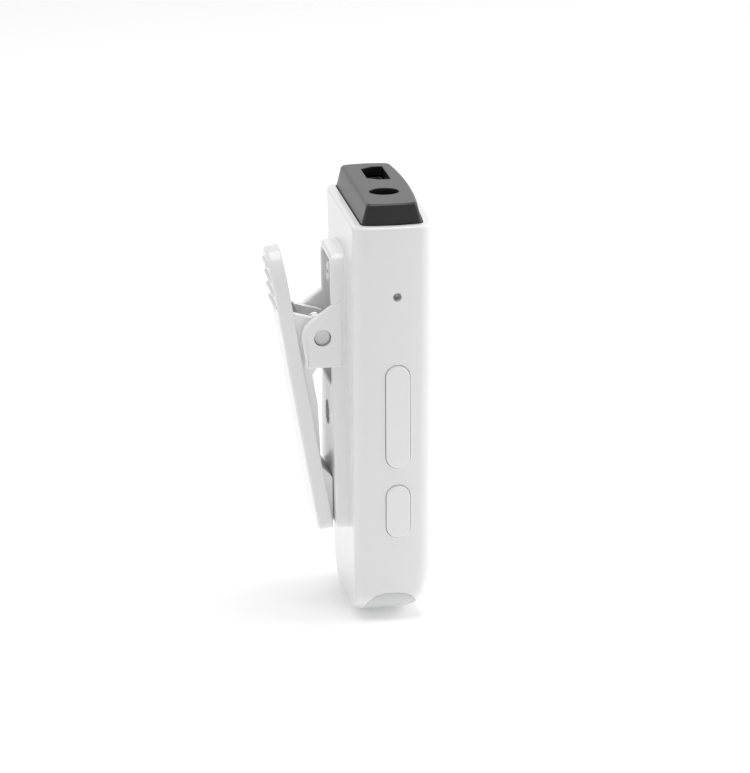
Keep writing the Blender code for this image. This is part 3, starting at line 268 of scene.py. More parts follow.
def on_axis(axis, along, point):
    """A point of a flat outline, set at a distance along one axis."""
    first, second = point
    return {"X": (along, first, second), "Y": (first, along, second), "Z": (first, second, along)}[axis]


def circle(centre, radius, steps=CIRCLE_STEPS):
    """Points of a whole circle, in order."""
    angles = [2 * math.pi * (i + 0.5) / steps for i in range(steps)]
    return [(centre[0] + radius * math.cos(a), centre[1] + radius * math.sin(a)) for a in angles]


def arc(centre, radius, start, end, steps):
    """Points of an arc between two angles, both ends included."""
    angles = [start + (end - start) * i / steps for i in range(steps + 1)]
    return [(centre[0] + radius * math.cos(a), centre[1] + radius * math.sin(a)) for a in angles]


def rounded(corners, steps=CORNER_STEPS):
    """Outline through (point, radius) corners, each rounded by an arc."""
    outline = []
    for i, (point, radius) in enumerate(corners):
        here = Vector(point)
        back = (Vector(corners[i - 1][0]) - here).normalized()
        ahead = (Vector(corners[(i + 1) % len(corners)][0]) - here).normalized()
        half_angle = back.angle(ahead) / 2
        if radius <= 0 or abs(half_angle - math.pi / 2) < STRAIGHT_LIMIT:
            outline.append(tuple(here))
            continue
        centre = here + (back + ahead).normalized() * radius / math.sin(half_angle)
        reach = radius / math.tan(half_angle)
        first = here + back * reach - centre
        turn = first.angle_signed(here + ahead * reach - centre)
        outline += [tuple(centre + Matrix.Rotation(-turn * step / steps, 2) @ first)
                    for step in range(steps + 1)]
    return outline


def rectangle(low, high, radius=0.0):
    """Rectangle between two corners, its own corners rounded by a radius."""
    points = [(low[0], low[1]), (high[0], low[1]), (high[0], high[1]), (low[0], high[1])]
    return rounded([(point, radius) for point in points])


def stadium(width, length, height):
    """Upright slot outline with round ends, at a height."""
    radius = width / 2
    rise = length / 2 - radius
    return (arc((0, height + rise), radius, 0, math.pi, 2 * CORNER_STEPS)
            + arc((0, height - rise), radius, math.pi, 2 * math.pi, 2 * CORNER_STEPS))


def drawn_in(outline, inset):
    """Outline with each of its edges moved inwards by an inset."""
    points = [Vector(point) for point in outline]
    area = sum(a.x * b.y - b.x * a.y for a, b in zip(points, points[1:] + points[:1]))
    inwards = math.copysign(1.0, area)
    moved = []
    for i, here in enumerate(points):
        before = (here - points[i - 1]).normalized()
        after = (points[(i + 1) % len(points)] - here).normalized()
        along = (before + after).normalized()
        normal = Vector((-along.y, along.x)) * inwards
        lengthen = max(along.dot(before), MITRE_LIMIT)
        moved.append(tuple(here + normal * inset / lengthen))
    return moved


def layered(name, axis, outline, layers, place=None):
    """Solid through copies of an outline: each layer is a distance along the axis and an inset."""
    return loft(name, [[on_axis(axis, along, point) for point in drawn_in(outline, inset)]
                       for along, inset in layers], place)


def soft_edge(at, towards, radius):
    """Layers of a rounded edge, from the end face into the solid; a negative radius flares it."""
    turns = [math.pi / 2 * i / EDGE_STEPS for i in range(EDGE_STEPS + 1)]
    return [(at + towards * abs(radius) * (1 - math.cos(t)), radius * (1 - math.sin(t))) for t in turns]


def soft_prism(name, axis, outline, start, end, start_edge=0.0, end_edge=0.0, place=None):
    """Outline extruded along an axis, with the edges of its end faces rounded."""
    first = soft_edge(start, 1, start_edge) if start_edge else [(start, 0.0)]
    last = soft_edge(end, -1, end_edge) if end_edge else [(end, 0.0)]
    return layered(name, axis, outline, first + last[::-1], place)


def flared_cut(name, axis, outline, start, rim, edge, place=None):
    """Cutter whose mouth flares towards its rim, so that the opening gets a rounded edge."""
    outwards = math.copysign(1.0, rim - start)
    mouth = soft_edge(rim, -outwards, -edge)
    layers = [(start, 0.0)] + mouth[::-1] + [(rim + outwards * OVERSHOOT, -edge)]
    return layered(name, axis, outline, layers, place)


def combine(target, tool, operation):
    """Boolean of two solids: the tool is used up and the target takes the result."""
    modifier = target.modifiers.new("combine", "BOOLEAN")
    modifier.operation = operation
    modifier.solver = "EXACT"
    modifier.object = tool
    apply_modifiers(target)
    bpy.data.objects.remove(tool, do_unlink=True)


def cut(target, *tools):
    """Take each tool away from a solid."""
    for tool in tools:
        combine(target, tool, "DIFFERENCE")


def join(target, *tools):
    """Add each tool to a solid."""
    for tool in tools:
        combine(target, tool, "UNION")


def apply_modifiers(piece):
    """Turn a piece, as its modifiers shape it, into a plain mesh."""
    bpy.context.view_layer.update()
    graph = bpy.context.evaluated_depsgraph_get()
    mesh = bpy.data.meshes.new_from_object(piece.evaluated_get(graph))
    mesh.name = piece.name
    piece.modifiers.clear()
    piece.data = mesh


def settle(piece, body, material, slot, *nodes):
    """Shade a finished piece, give it its finish and set it on a body, if any, in place of CAD nodes."""
    mesh = piece.data
    mesh.materials.clear()
    mesh.materials.append(material)
    mesh.polygons.foreach_set("material_index", [0] * len(mesh.polygons))
    mesh.shade_smooth()
    mesh.set_sharp_from_angle(angle=SHARP_ANGLE)
    weighted = piece.modifiers.new("normals", "WEIGHTED_NORMAL")
    weighted.keep_sharp = True
    apply_modifiers(piece)
    if body:
        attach(piece, body)
    if nodes:
        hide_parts(*nodes)


def row_tree():
    """Node tree that sets copies of a piece in a straight row, scaled evenly towards the last one."""
    tree = bpy.data.node_groups.new("row", "GeometryNodeTree")
    for name, kind in (("Count", "Int"), ("Start", "Vector"), ("Step", "Vector"), ("Last Scale", "Vector"),
                       ("Piece", "Object"), ("Finish", "Material")):
        tree.interface.new_socket(name, in_out="INPUT", socket_type="NodeSocket" + kind)
    tree.interface.new_socket("Geometry", in_out="OUTPUT", socket_type="NodeSocketGeometry")
    given = tree.nodes.new("NodeGroupInput").outputs
    line = tree.nodes.new("GeometryNodeMeshLine")
    tree.links.new(given["Count"], line.inputs["Count"])
    tree.links.new(given["Start"], line.inputs["Start Location"])
    tree.links.new(given["Step"], line.inputs["Offset"])
    last = tree.nodes.new("ShaderNodeMath")
    last.operation = "SUBTRACT"
    last.inputs[1].default_value = 1.0
    tree.links.new(given["Count"], last.inputs[0])
    share = tree.nodes.new("ShaderNodeMath")
    share.operation = "DIVIDE"
    tree.links.new(tree.nodes.new("GeometryNodeInputIndex").outputs["Index"], share.inputs[0])
    tree.links.new(last.outputs[0], share.inputs[1])
    size = tree.nodes.new("ShaderNodeMix")
    size.data_type = "VECTOR"
    size.inputs[4].default_value = (1.0, 1.0, 1.0)
    tree.links.new(share.outputs[0], size.inputs[0])
    tree.links.new(given["Last Scale"], size.inputs[5])
    piece = tree.nodes.new("GeometryNodeObjectInfo")
    tree.links.new(given["Piece"], piece.inputs["Object"])
    copies = tree.nodes.new("GeometryNodeInstanceOnPoints")
    tree.links.new(line.outputs["Mesh"], copies.inputs["Points"])
    tree.links.new(piece.outputs["Geometry"], copies.inputs["Instance"])
    tree.links.new(size.outputs[1], copies.inputs["Scale"])
    whole = tree.nodes.new("GeometryNodeRealizeInstances")
    tree.links.new(copies.outputs["Instances"], whole.inputs["Geometry"])
    finish = tree.nodes.new("GeometryNodeSetMaterial")
    tree.links.new(whole.outputs["Geometry"], finish.inputs["Geometry"])
    tree.links.new(given["Finish"], finish.inputs["Material"])
    output = tree.nodes.new("NodeGroupOutput")
    tree.links.new(finish.outputs["Geometry"], output.inputs["Geometry"])
    return tree


def repeated(name, piece, material, count, start, step, last_scale=(1.0, 1.0, 1.0)):
    """One mesh with copies of a piece, which is used up, in a row."""
    row = add_object(name, bpy.data.meshes.new(name))
    modifier = row.modifiers.new("row", "NODES")
    modifier.node_group = ROW
    given = {"Count": count, "Start": start, "Step": step, "Last Scale": last_scale, "Piece": piece,
             "Finish": material}
    for socket in ROW.interface.items_tree:
        if socket.in_out == "INPUT":
            modifier[socket.identifier] = given[socket.name]
    apply_modifiers(row)
    bpy.data.objects.remove(piece, do_unlink=True)
    return row


ROW = row_tree()


# Finishes

DRIFT_DETAIL = 3.0
GRAIN_DETAIL = 2.0
TONE_START = 0.3
TONE_END = 0.7
GLOSS_SPREAD = 0.05
GRAIN_STRENGTH = 0.25
SMOOTH_GRAIN = 0.0000008


def shader_nodes(name):
    """New material, with its node tree and its main shader."""
    material = bpy.data.materials.new(name)
    material.use_nodes = True
    return material, material.node_tree, material.node_tree.nodes["Principled BSDF"]


def moulded(name, colour, roughness, grain=9000.0, depth=0.000004, tone=0.02, metallic=0.0,
            stretch=(1.0, 1.0, 1.0), patches=140.0, specular=0.5):
    """Finish with a fine grain in relief and a slow drift of tone and gloss over the surface."""
    material, tree, shader = shader_nodes(name)
    place = tree.nodes.new("ShaderNodeTexCoord")
    turn = tree.nodes.new("ShaderNodeMapping")
    turn.inputs["Scale"].default_value = stretch
    tree.links.new(place.outputs["Object"], turn.inputs["Vector"])
    drift = tree.nodes.new("ShaderNodeTexNoise")
    drift.inputs["Scale"].default_value = patches
    drift.inputs["Detail"].default_value = DRIFT_DETAIL
    tree.links.new(turn.outputs["Vector"], drift.inputs["Vector"])
    tones = tree.nodes.new("ShaderNodeValToRGB")
    for stop, shade in zip(tones.color_ramp.elements, (1.0 - tone, 1.0 + tone)):
        stop.color = (*[min(channel * shade, 1.0) for channel in colour], 1.0)
    tones.color_ramp.elements[0].position = TONE_START
    tones.color_ramp.elements[1].position = TONE_END
    tree.links.new(drift.outputs["Fac"], tones.inputs["Fac"])
    tree.links.new(tones.outputs["Color"], shader.inputs["Base Color"])
    fine = tree.nodes.new("ShaderNodeTexNoise")
    fine.inputs["Scale"].default_value = grain
    fine.inputs["Detail"].default_value = GRAIN_DETAIL
    tree.links.new(turn.outputs["Vector"], fine.inputs["Vector"])
    gloss = tree.nodes.new("ShaderNodeMapRange")
    gloss.inputs["To Min"].default_value = roughness - GLOSS_SPREAD
    gloss.inputs["To Max"].default_value = roughness + GLOSS_SPREAD
    tree.links.new(fine.outputs["Fac"], gloss.inputs["Value"])
    tree.links.new(gloss.outputs["Result"], shader.inputs["Roughness"])
    bump = tree.nodes.new("ShaderNodeBump")
    bump.inputs["Strength"].default_value = GRAIN_STRENGTH
    bump.inputs["Distance"].default_value = depth
    tree.links.new(fine.outputs["Fac"], bump.inputs["Height"])
    tree.links.new(bump.outputs["Normal"], shader.inputs["Normal"])
    shader.inputs["Metallic"].default_value = metallic
    shader.inputs["Specular IOR Level"].default_value = specular
    return material


WHITE = moulded("white_satin_plastic", (0.92, 0.92, 0.92), 0.20, depth=SMOOTH_GRAIN, tone=0.006)
# The case's white plastic made a little lighter for the keys: painted light for the brighter look that their
# tilt and gloss give them.
KEY_WHITE_PAINTED_LIGHT = moulded("white_key_plastic", (0.945, 0.945, 0.945), 0.20, depth=SMOOTH_GRAIN, tone=0.006)
CHARCOAL = moulded("charcoal_fine_matt", (0.008, 0.0082, 0.0085), 0.30, grain=7000.0, tone=0.06, specular=0.4)
MILKY = moulded("milky_window_plastic", (0.71, 0.715, 0.715), 0.20, depth=SMOOTH_GRAIN, tone=0.01)
STEEL = moulded("bright_steel", (0.56, 0.56, 0.57), 0.30, tone=0.03, metallic=1.0, stretch=(0.15, 1.0, 1.0))
PIN_STEEL = moulded("dull_pin_steel", (0.72, 0.72, 0.72), 0.50, tone=0.03, metallic=0.2)
ZINC = moulded("pale_plated_screw", (0.80, 0.80, 0.80), 0.45, tone=0.03, metallic=0.2)
# Plated socket steel painted dark grey: painted shade for the dim inside of the charging opening.
SOCKET_STEEL_PAINTED_SHADE = moulded("socket_steel", (0.20, 0.20, 0.21), 0.42, tone=0.05, metallic=1.0)
BRASS = moulded("plated_contact", (0.62, 0.46, 0.20), 0.32, tone=0.04, metallic=1.0)
SOCKET_BLACK = moulded("socket_black_moulding", (0.012, 0.012, 0.013), 0.5, tone=0.05)
CHIP_BLACK = moulded("chip_moulding", (0.02, 0.02, 0.022), 0.58, tone=0.08)
BOARD = moulded("lacquered_board", (0.015, 0.13, 0.05), 0.38, tone=0.15, patches=900.0)
CELL_FOIL = moulded("cell_foil", (0.55, 0.56, 0.58), 0.40, tone=0.05, metallic=0.6)
RUBBER = moulded("boot_rubber", (0.03, 0.03, 0.03), 0.80, tone=0.05)
# Grey microphone wire with its colour made pale: partly the wire's own grey, partly painted light that lifts
# the shade inside the deep hole.
MESH_GREY_PAINTED_LIGHT = moulded("microphone_mesh_wire", (0.80, 0.80, 0.80), 0.5, tone=0.05)
FOAM = moulded("foam_tape", (0.75, 0.74, 0.70), 0.90, tone=0.06, grain=4000.0, depth=0.00002)
LEAD_RED = moulded("red_lead_jacket", (0.50, 0.02, 0.02), 0.45, tone=0.04)
LEAD_BLACK = moulded("black_lead_jacket", (0.02, 0.02, 0.02), 0.45, tone=0.04)
CERAMIC = moulded("ceramic", (0.70, 0.68, 0.64), 0.50, tone=0.03)

CARRIED_OVER = {
    SOCKET_STEEL_PAINTED_SHADE: ["usb_socket"],
    STEEL: ["rocker_pin", "volume_up_switch", "volume_down_switch", "play_switch", "microphone_capsule",
            "radio_shield", "crystal"],
    BRASS: ["jack_collar", "jack_tip_contact", "jack_sleeve_contact"],
    SOCKET_BLACK: ["usb_tongue", "jack_socket", "volume_up_stem", "volume_down_stem", "play_stem"],
    CHIP_BLACK: ["decoder_chip", "memory_chip", "charge_chip", "inductor"],
    BOARD: ["circuit_board", "battery_board"],
    CELL_FOIL: ["battery_cell"],
    RUBBER: ["microphone_boot"],
    MESH_GREY_PAINTED_LIGHT: ["microphone_mesh"],
    FOAM: ["battery_tape"],
    LEAD_RED: ["positive_lead"],
    LEAD_BLACK: ["negative_lead"],
    CERAMIC: ["chip_antenna", "status_led"],
}


def finish_carried_over():
    """Give the CAD nodes that stay as they are their finishes."""
    for material, nodes in CARRIED_OVER.items():
        for node in nodes:
            for slot in frame["nodes"][node].material_slots:
                slot.material = material


# Case and bottom window

def side_x(z):
    """Half width of the case at a height, at the middle of its narrow side."""
    return BODY_WIDTH / 2 - SIDE_TAPER * (1 - z / BODY_HEIGHT)


def rounding(rise, height, depth):
    """How far a quarter ellipse of that height and depth draws in at a rise above its foot."""
    if rise >= height:
        return 0.0
    return depth * (1 - math.sqrt(1 - (1 - rise / height) ** 2))


def body_section(z, inset, rise, side_inset=None, least_radius=INNER_CORNER_RADIUS):
    """Outline of the case at a height, drawn in by an inset, with crowned front and sides."""
    draw_in = inset if side_inset is None else side_inset
    half = side_x(z) - SIDE_CROWN - rounding(rise, BOTTOM_SIDE_HEIGHT, BOTTOM_SIDE_DEPTH) - draw_in
    front = FRONT_LEAN * (1 - z / BODY_HEIGHT) - BACK_Y + inset
    front += rounding(rise, BOTTOM_FRONT_HEIGHT, BOTTOM_FRONT_DEPTH)
    back = BACK_Y - rounding(rise, BOTTOM_BACK_RADIUS, BOTTOM_BACK_RADIUS) - inset
    front_radius = min(max(FRONT_CORNER_RADIUS - inset, least_radius), half)
    back_radius = min(max(BACK_CORNER_RADIUS - inset, least_radius), half)
    quarter = math.pi / 2
    corners = [((half, front), front_radius, -1), ((half, back), back_radius, 0),
               ((-half, back), back_radius, 1), ((-half, front), front_radius, 2)]
    counts = [SIDE_POINTS, FACE_POINTS, SIDE_POINTS, FACE_POINTS]
    arcs = []
    for (x, y), radius, turn in corners:
        centre = (x - math.copysign(radius, x), y + (radius if y == front else -radius))
        arcs.append(arc(centre, radius, turn * quarter, (turn + 1) * quarter, CORNER_STEPS))
    flat = []
    for i, bend in enumerate(arcs):
        last, first = Vector(bend[-1]), Vector(arcs[(i + 1) % 4][0])
        flat += bend
        flat += [tuple(last.lerp(first, (k + 1) / (counts[i] + 1))) for k in range(counts[i])]
    middle = (front + back) / 2
    depth = (back - front) / 2
    outline = []
    for x, y in flat:
        across = x / half
        towards_back = (y - middle) / depth
        crowned_x = x + SIDE_CROWN * across * (1 - towards_back ** 2)
        crowned_y = y - FRONT_CROWN * (1 - across ** 2) * max(0.0, -towards_back)
        outline.append((crowned_x, crowned_y, z))
    return outline


def bottom_rises():
    """Heights of the outlines that draw the curved bottom, closest together at its foot."""
    return [BOTTOM_FRONT_HEIGHT * (i / BOTTOM_LEVELS) ** 2 for i in range(BOTTOM_LEVELS + 1)]


def body_volume(name, inset, top):
    """The case's shape drawn in by an inset all round and at the bottom, up to a height."""
    loops = [body_section(inset + rise, inset, rise) for rise in bottom_rises()]
    loops.append(body_section(top, inset, top))
    return loft(name, loops)


def body_outside(name):
    """The case's outer shape, with its top edge rounded."""
    loops = [body_section(rise, 0.0, rise) for rise in bottom_rises()]
    for z, inset in soft_edge(BODY_HEIGHT, -1, TOP_EDGE_RADIUS)[::-1]:
        loops.append(body_section(z, inset, BODY_HEIGHT))
    return loft(name, loops)


def window_bar(name, grow):
    """Oval bar along X that shapes the bottom window and the opening for it."""
    reach = BODY_WIDTH / 2 + OVERSHOOT
    outline = []
    for y, z in circle((0.0, 0.0), 1.0, 2 * CIRCLE_STEPS):
        across = math.copysign(abs(y) ** WINDOW_SQUARENESS, y)
        up = math.copysign(abs(z) ** WINDOW_SQUARENESS, z)
        outline.append((WINDOW_Y + (WINDOW_HALF_WIDTH + grow) * across, (WINDOW_HEIGHT + grow) * up))
    return soft_prism(name, "X", outline, -reach, reach)


def key_slot(length, height):
    """Cutter for a key's opening, with a slightly rounded mouth on the narrow side."""
    outline = stadium(KEY_WIDTH + 2 * KEY_GAP, length + 2 * KEY_GAP, height)
    return flared_cut("slot", "X", outline, WALL + OVERSHOOT, -SIDE_CROWN, KEY_RIM, SIDE_PLACE)


def clip_outline():
    """Clip base outline: round shoulders at the top, flaring towards the jaw."""
    ear_foot = PIVOT.z - EAR_FALL
    right = [((CLIP_HALF_WIDTH + CLIP_FLARE, CLIP_BOTTOM), CLIP_BOTTOM_RADIUS),
             ((CLIP_HALF_WIDTH, ear_foot), 0.0), ((CLIP_HALF_WIDTH, CLIP_TOP), CLIP_TOP_RADIUS)]
    left = [((-x, z), radius) for (x, z), radius in reversed(right)]
    return rounded(right + left)


def case():
    """One-piece case with its smooth outer skin and the openings in it."""
    shell = body_outside("case")
    cut(shell, body_volume("cavity", WALL, BODY_HEIGHT + OVERSHOOT), window_bar("window", SEAM))
    cut(shell, soft_prism("recess", "Y", clip_outline(), CLIP_SEAT - SEAM, BACK_Y + OVERSHOOT))
    cut(shell, key_slot(ROCKER_LENGTH, ROCKER_HEIGHT), key_slot(BUTTON_LENGTH, BUTTON_HEIGHT))
    height = (BODY_HEIGHT - MICROPHONE_DROP) / math.cos(SIDE_ANGLE)
    hole = circle((0.0, height), MICROPHONE_HOLE_RADIUS)
    cut(shell, flared_cut("hole", "X", hole, WALL + OVERSHOOT, -SIDE_CROWN, OPENING_EDGE, SIDE_PLACE))
    settle(shell, "housing", WHITE, "white_shell", "case_shell")


def bottom_window():
    """Milky insert across the bottom, flush with the case."""
    window = body_outside("bottom_window")
    combine(window, window_bar("bar", 0.0), "INTERSECT")
    cut(window, body_volume("hollow", WALL, BODY_HEIGHT / 2))
    settle(window, "housing", MILKY, "milky_window", "light_window")


# End cap

def usb_outline():
    """Charging opening, its wide side to the front, round the socket behind it."""
    low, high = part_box("usb_socket")
    grow = USB_OPENING_GAP
    middle_y = (low.y + high.y) / 2
    corners = [(low.x - grow, low.y - grow), (high.x + grow, low.y - grow), (high.x + grow, middle_y),
               (high.x - USB_NARROWING, high.y + grow), (low.x + USB_NARROWING, high.y + grow),
               (low.x - grow, middle_y)]
    return rounded([(corner, USB_CORNER_RADIUS) for corner in corners])


def end_cap():
    """Tapered cap with soft edges and the two socket openings."""
    plug_end = BODY_HEIGHT - CAP_PLUG
    loops = [body_section(z, CAP_INSET, BODY_HEIGHT, least_radius=CAP_CORNER_RADIUS)
             for z in (plug_end, BODY_HEIGHT)]
    for z, inset in soft_edge(CAP_TOP, -1, CAP_EDGE_RADIUS)[::-1]:
        loops.append(body_section(z, CAP_INSET + inset + CAP_TAPER, BODY_HEIGHT,
                                  CAP_INSET + inset + CAP_SIDE_TAPER, CAP_CORNER_RADIUS))
    cap = loft("end_cap", loops)
    inside = CAP_INSET + CAP_WALL
    hollow = [body_section(z, inside, BODY_HEIGHT) for z in (plug_end - OVERSHOOT, BODY_HEIGHT)]
    hollow.append(body_section(CAP_TOP - CAP_ROOF, inside + CAP_TAPER, BODY_HEIGHT))
    cut(cap, loft("hollow", hollow))
    low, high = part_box("jack_socket")
    jack = circle(((low.x + high.x) / 2, (low.y + high.y) / 2), JACK_OPENING_RADIUS)
    for outline in (usb_outline(), jack):
        cut(cap, flared_cut("opening", "Z", outline, BODY_HEIGHT, CAP_TOP, OPENING_EDGE))
    settle(cap, "housing", CHARCOAL, "charcoal_cap", "top_cap")


def socket_contacts():
    """Row of plated contact strips on the charging socket's tongue."""
    low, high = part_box("usb_tongue")
    outline = rectangle((-CONTACT_WIDTH / 2, -CONTACT_THICK), (CONTACT_WIDTH / 2, 0.0))
    strip = soft_prism("strip", "Z", outline, low.z, high.z - CONTACT_WIDTH)
    pitch = (high.x - low.x) / (CONTACT_COUNT + 1)
    strips = repeated("socket_contacts", strip, BRASS, CONTACT_COUNT, (low.x + pitch, low.y, 0.0),
                      (pitch, 0.0, 0.0))
    settle(strips, "housing", BRASS, "contact_brass")


# Keys

def key_face(name, length, height, depth):
    """Stadium key with a rounded outer edge, from its proud face back to a depth."""
    return soft_prism(name, "X", stadium(KEY_WIDTH, length, height), -KEY_PROUD, depth,
                      start_edge=KEY_EDGE_RADIUS, place=SIDE_PLACE)


def side_block(start, end, half_y, middle, half_z):
    """Square block behind a key, between two depths in from the narrow side."""
    outline = rectangle((-half_y, middle - half_z), (half_y, middle + half_z))
    return soft_prism("block", "X", outline, start, end, place=SIDE_PLACE)


def volume_key():
    """Long key with the lug that it tips on and the nibs that press its switches."""
    key = key_face("volume_key", ROCKER_LENGTH, ROCKER_HEIGHT, ROCKER_BACK)
    root = ROCKER_BACK - KEY_EDGE_RADIUS
    join(key, side_block(root, ROCKER_LUG_END, ROCKER_LUG / 2, ROCKER_HEIGHT, ROCKER_LUG / 2))
    for side in (-1, 1):
        join(key, side_block(root, ROCKER_NIB_END, NIB_SIDE / 2,
                             ROCKER_HEIGHT + side * ROCKER_NIB_SPACING / 2, NIB_SIDE / 2))
    bore = circle((ROCKER_PIVOT, ROCKER_HEIGHT), ROCKER_BORE_RADIUS)
    cut(key, soft_prism("bore", "Y", bore, -KEY_WIDTH, KEY_WIDTH, place=SIDE_PLACE))
    settle(key, "rocker", KEY_WHITE_PAINTED_LIGHT, "white_shell", "volume_rocker")


def play_key():
    """Short key with the flange that keeps it in and the nib that presses its switch."""
    key = key_face("play_key", BUTTON_LENGTH, BUTTON_HEIGHT, FLANGE_END)
    rim = 2 * FLANGE_RIM
    flange = stadium(KEY_WIDTH + rim, BUTTON_LENGTH + rim, BUTTON_HEIGHT)
    join(key, soft_prism("flange", "X", flange, FLANGE_START, FLANGE_END, place=SIDE_PLACE))
    join(key, side_block(FLANGE_START, BUTTON_NIB_END, NIB_SIDE / 2, BUTTON_HEIGHT, NIB_SIDE / 2))
    settle(key, "button", KEY_WHITE_PAINTED_LIGHT, "white_shell", "play_button")


def microphone_weave():
    """Crossed wires in front of the microphone, seen through the hole."""
    low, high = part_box("microphone_mesh")
    middle = (low + high) / 2
    half = (high.y - low.y) / 2
    pitch = 2 * half / (WEAVE_COUNT - 1)
    wires = circle((0.0, 0.0), WEAVE_RADIUS, WEAVE_SIDES)
    upright = soft_prism("wire", "Z", wires, -half, half)
    weave = repeated("microphone_weave", upright, MESH_GREY_PAINTED_LIGHT, WEAVE_COUNT, (-WEAVE_RADIUS, -half, 0.0),
                     (0.0, pitch, 0.0))
    level = soft_prism("wire", "Y", wires, -half, half)
    join(weave, repeated("level", level, MESH_GREY_PAINTED_LIGHT, WEAVE_COUNT, (0.0, 0.0, -half), (0.0, 0.0, pitch)))
    face = Vector((low.x, middle.y, middle.z))
    weave.data.transform(Matrix.Translation(face) @ Matrix.Rotation(-SIDE_ANGLE, 4, "Y"))
    settle(weave, "housing", MESH_GREY_PAINTED_LIGHT, "mesh_grey")


# Clip

def ear_outline():
    """Ear outline in depth and height: round about the pin, sloping down to the clip's top."""
    slope_foot = Vector((BACK_Y + EAR_ROOT, PIVOT.z + EAR_RISE))
    centre = PIVOT.yz
    run = slope_foot - centre
    tangent = math.atan2(run.y, run.x) - math.acos(EAR_RADIUS / run.length)
    nose = arc(centre, EAR_RADIUS, tangent, 0.0, 2 * CORNER_STEPS)
    foot = rounded([(nose[-1], 0.0), ((CLIP_FACE + EAR_FOOT, PIVOT.z - EAR_FALL), EAR_CORNER_RADIUS),
                    ((slope_foot.x, PIVOT.z - EAR_FALL), 0.0)])
    return [tuple(slope_foot)] + nose[:-1] + foot


def screw_centre(node):
    """Middle of a screw, across and up the back."""
    low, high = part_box(node)
    return (low.x + high.x) / 2, (low.z + high.z) / 2


def clip_plate():
    """Plate on the back with a rimmed channel, two ears, the screw holes and the lower screw's well."""
    layers = [(CLIP_SEAT, 0.0), (BACK_Y - SEAM, 0.0), (BACK_Y - SEAM, -CLIP_FILLET)]
    layers += soft_edge(BACK_Y, 1, -CLIP_FILLET)
    layers += soft_edge(CLIP_FACE, -1, CLIP_EDGE_RADIUS)[::-1]
    plate = layered("clip_plate", "Y", clip_outline(), layers)
    half = CLIP_HALF_WIDTH - CHANNEL_RIM
    top = CLIP_TOP - CHANNEL_RIM
    channel = rectangle((-half, top - CHANNEL_LENGTH), (half, top), CHANNEL_RADIUS)
    cut(plate, flared_cut("channel", "Y", channel, CHANNEL_FLOOR, CLIP_FACE, CHANNEL_EDGE))
    for side in (-1, 1):
        edges = sorted((side * half, side * (CLIP_HALF_WIDTH + EAR_PROUD)))
        join(plate, soft_prism("ear", "X", ear_outline(), *edges, EAR_EDGE, EAR_EDGE))
    bore = circle(PIVOT.yz, CLIP_PIN_RADIUS + PIN_CLEARANCE)
    reach = CLIP_HALF_WIDTH + OVERSHOOT
    cut(plate, soft_prism("bore", "X", bore, -reach, reach))
    for node in ("clip_screw_upper", "clip_screw_lower"):
        hole = circle(screw_centre(node), SCREW_CLEARANCE)
        cut(plate, soft_prism("hole", "Y", hole, CLIP_SEAT - OVERSHOOT, CLIP_FACE))
    well = circle(screw_centre("clip_screw_lower"), SCREW_WELL_RADIUS)
    cut(plate, flared_cut("well", "Y", well, CHANNEL_FLOOR, CLIP_FACE, OPENING_EDGE))
    settle(plate, "housing", WHITE, "white_shell", "clip_base")


def jaw_line(along):
    """Depth, in the lever's frame, of the plane where the tooth meets the clip base."""
    return (JAW_GAP - PIVOT_HEIGHT - along * math.sin(LEVER_LEAN)) / math.cos(LEVER_LEAN)


def lever_lug(side):
    """Lug round the pin, with the rib that stiffens the lever below it."""
    top_run = Vector((LEVER_OFFSET, LUG_ROOT_UP))
    low_run = Vector((LEVER_OFFSET, -LUG_ROOT_DOWN))
    start = math.atan2(top_run.y, top_run.x) + math.acos(LUG_RADIUS / top_run.length)
    end = math.atan2(low_run.y, low_run.x) - math.acos(LUG_RADIUS / low_run.length)
    nose = arc((0.0, 0.0), LUG_RADIUS, start, end + 2 * math.pi, 3 * CORNER_STEPS)
    rib_face = LEVER_OFFSET - RIB_HEIGHT
    outline = nose + [(rib_face, -LUG_ROOT_DOWN), (rib_face, -LUG_ROOT_DOWN - RIB_START),
                      (LEVER_OFFSET, -RIB_END), (LEVER_MIDDLE, -RIB_END), (LEVER_MIDDLE, LUG_ROOT_UP),
                      (LEVER_OFFSET, LUG_ROOT_UP)]
    edges = sorted((side * LUG_INNER, side * (LUG_INNER + LUG_THICK)))
    return soft_prism("lug", "X", outline, *edges)


def lever_outline():
    """Lever outline: a round thumb end, and sides that flare from the lugs to the jaw."""
    corner = LEVER_HALF_WIDTH + LEVER_FLARE
    low = rounded([((-LEVER_HALF_WIDTH, -LUG_ROOT_DOWN), 0.0), ((-corner, -LEVER_LOWER), LEVER_BOTTOM_RADIUS),
                   ((corner, -LEVER_LOWER), LEVER_BOTTOM_RADIUS), ((LEVER_HALF_WIDTH, -LUG_ROOT_DOWN), 0.0)])
    crown = arc((0.0, 0.0), 1.0, 0.0, math.pi, 6 * CORNER_STEPS)
    return low + [(LEVER_HALF_WIDTH * x, LEVER_UPPER + LEVER_TOP_HEIGHT * (z - 1)) for x, z in crown]


def grip_ridges():
    """Round ridges across the thumb end, shorter towards its round top."""
    half = LEVER_HALF_WIDTH - RIDGE_MARGIN
    outline = rectangle((-half, -RIDGE_WIDTH / 2), (half, RIDGE_WIDTH / 2), RIDGE_CORNER_RADIUS)
    ridge = soft_prism("ridge", "Y", outline, -RIDGE_HEIGHT, RIDGE_HEIGHT, end_edge=RIDGE_EDGE)
    last = RIDGE_FIRST + (RIDGE_COUNT - 1) * RIDGE_PITCH + RIDGE_WIDTH / 2
    rise = (last - LEVER_UPPER) / LEVER_TOP_HEIGHT + 1
    shorter = (LEVER_HALF_WIDTH * math.sqrt(1 - rise ** 2) - RIDGE_MARGIN) / half
    return repeated("ridges", ridge, WHITE, RIDGE_COUNT, (0.0, LEVER_FACE, RIDGE_FIRST),
                    (0.0, 0.0, RIDGE_PITCH), (shorter, 1.0, 1.0))


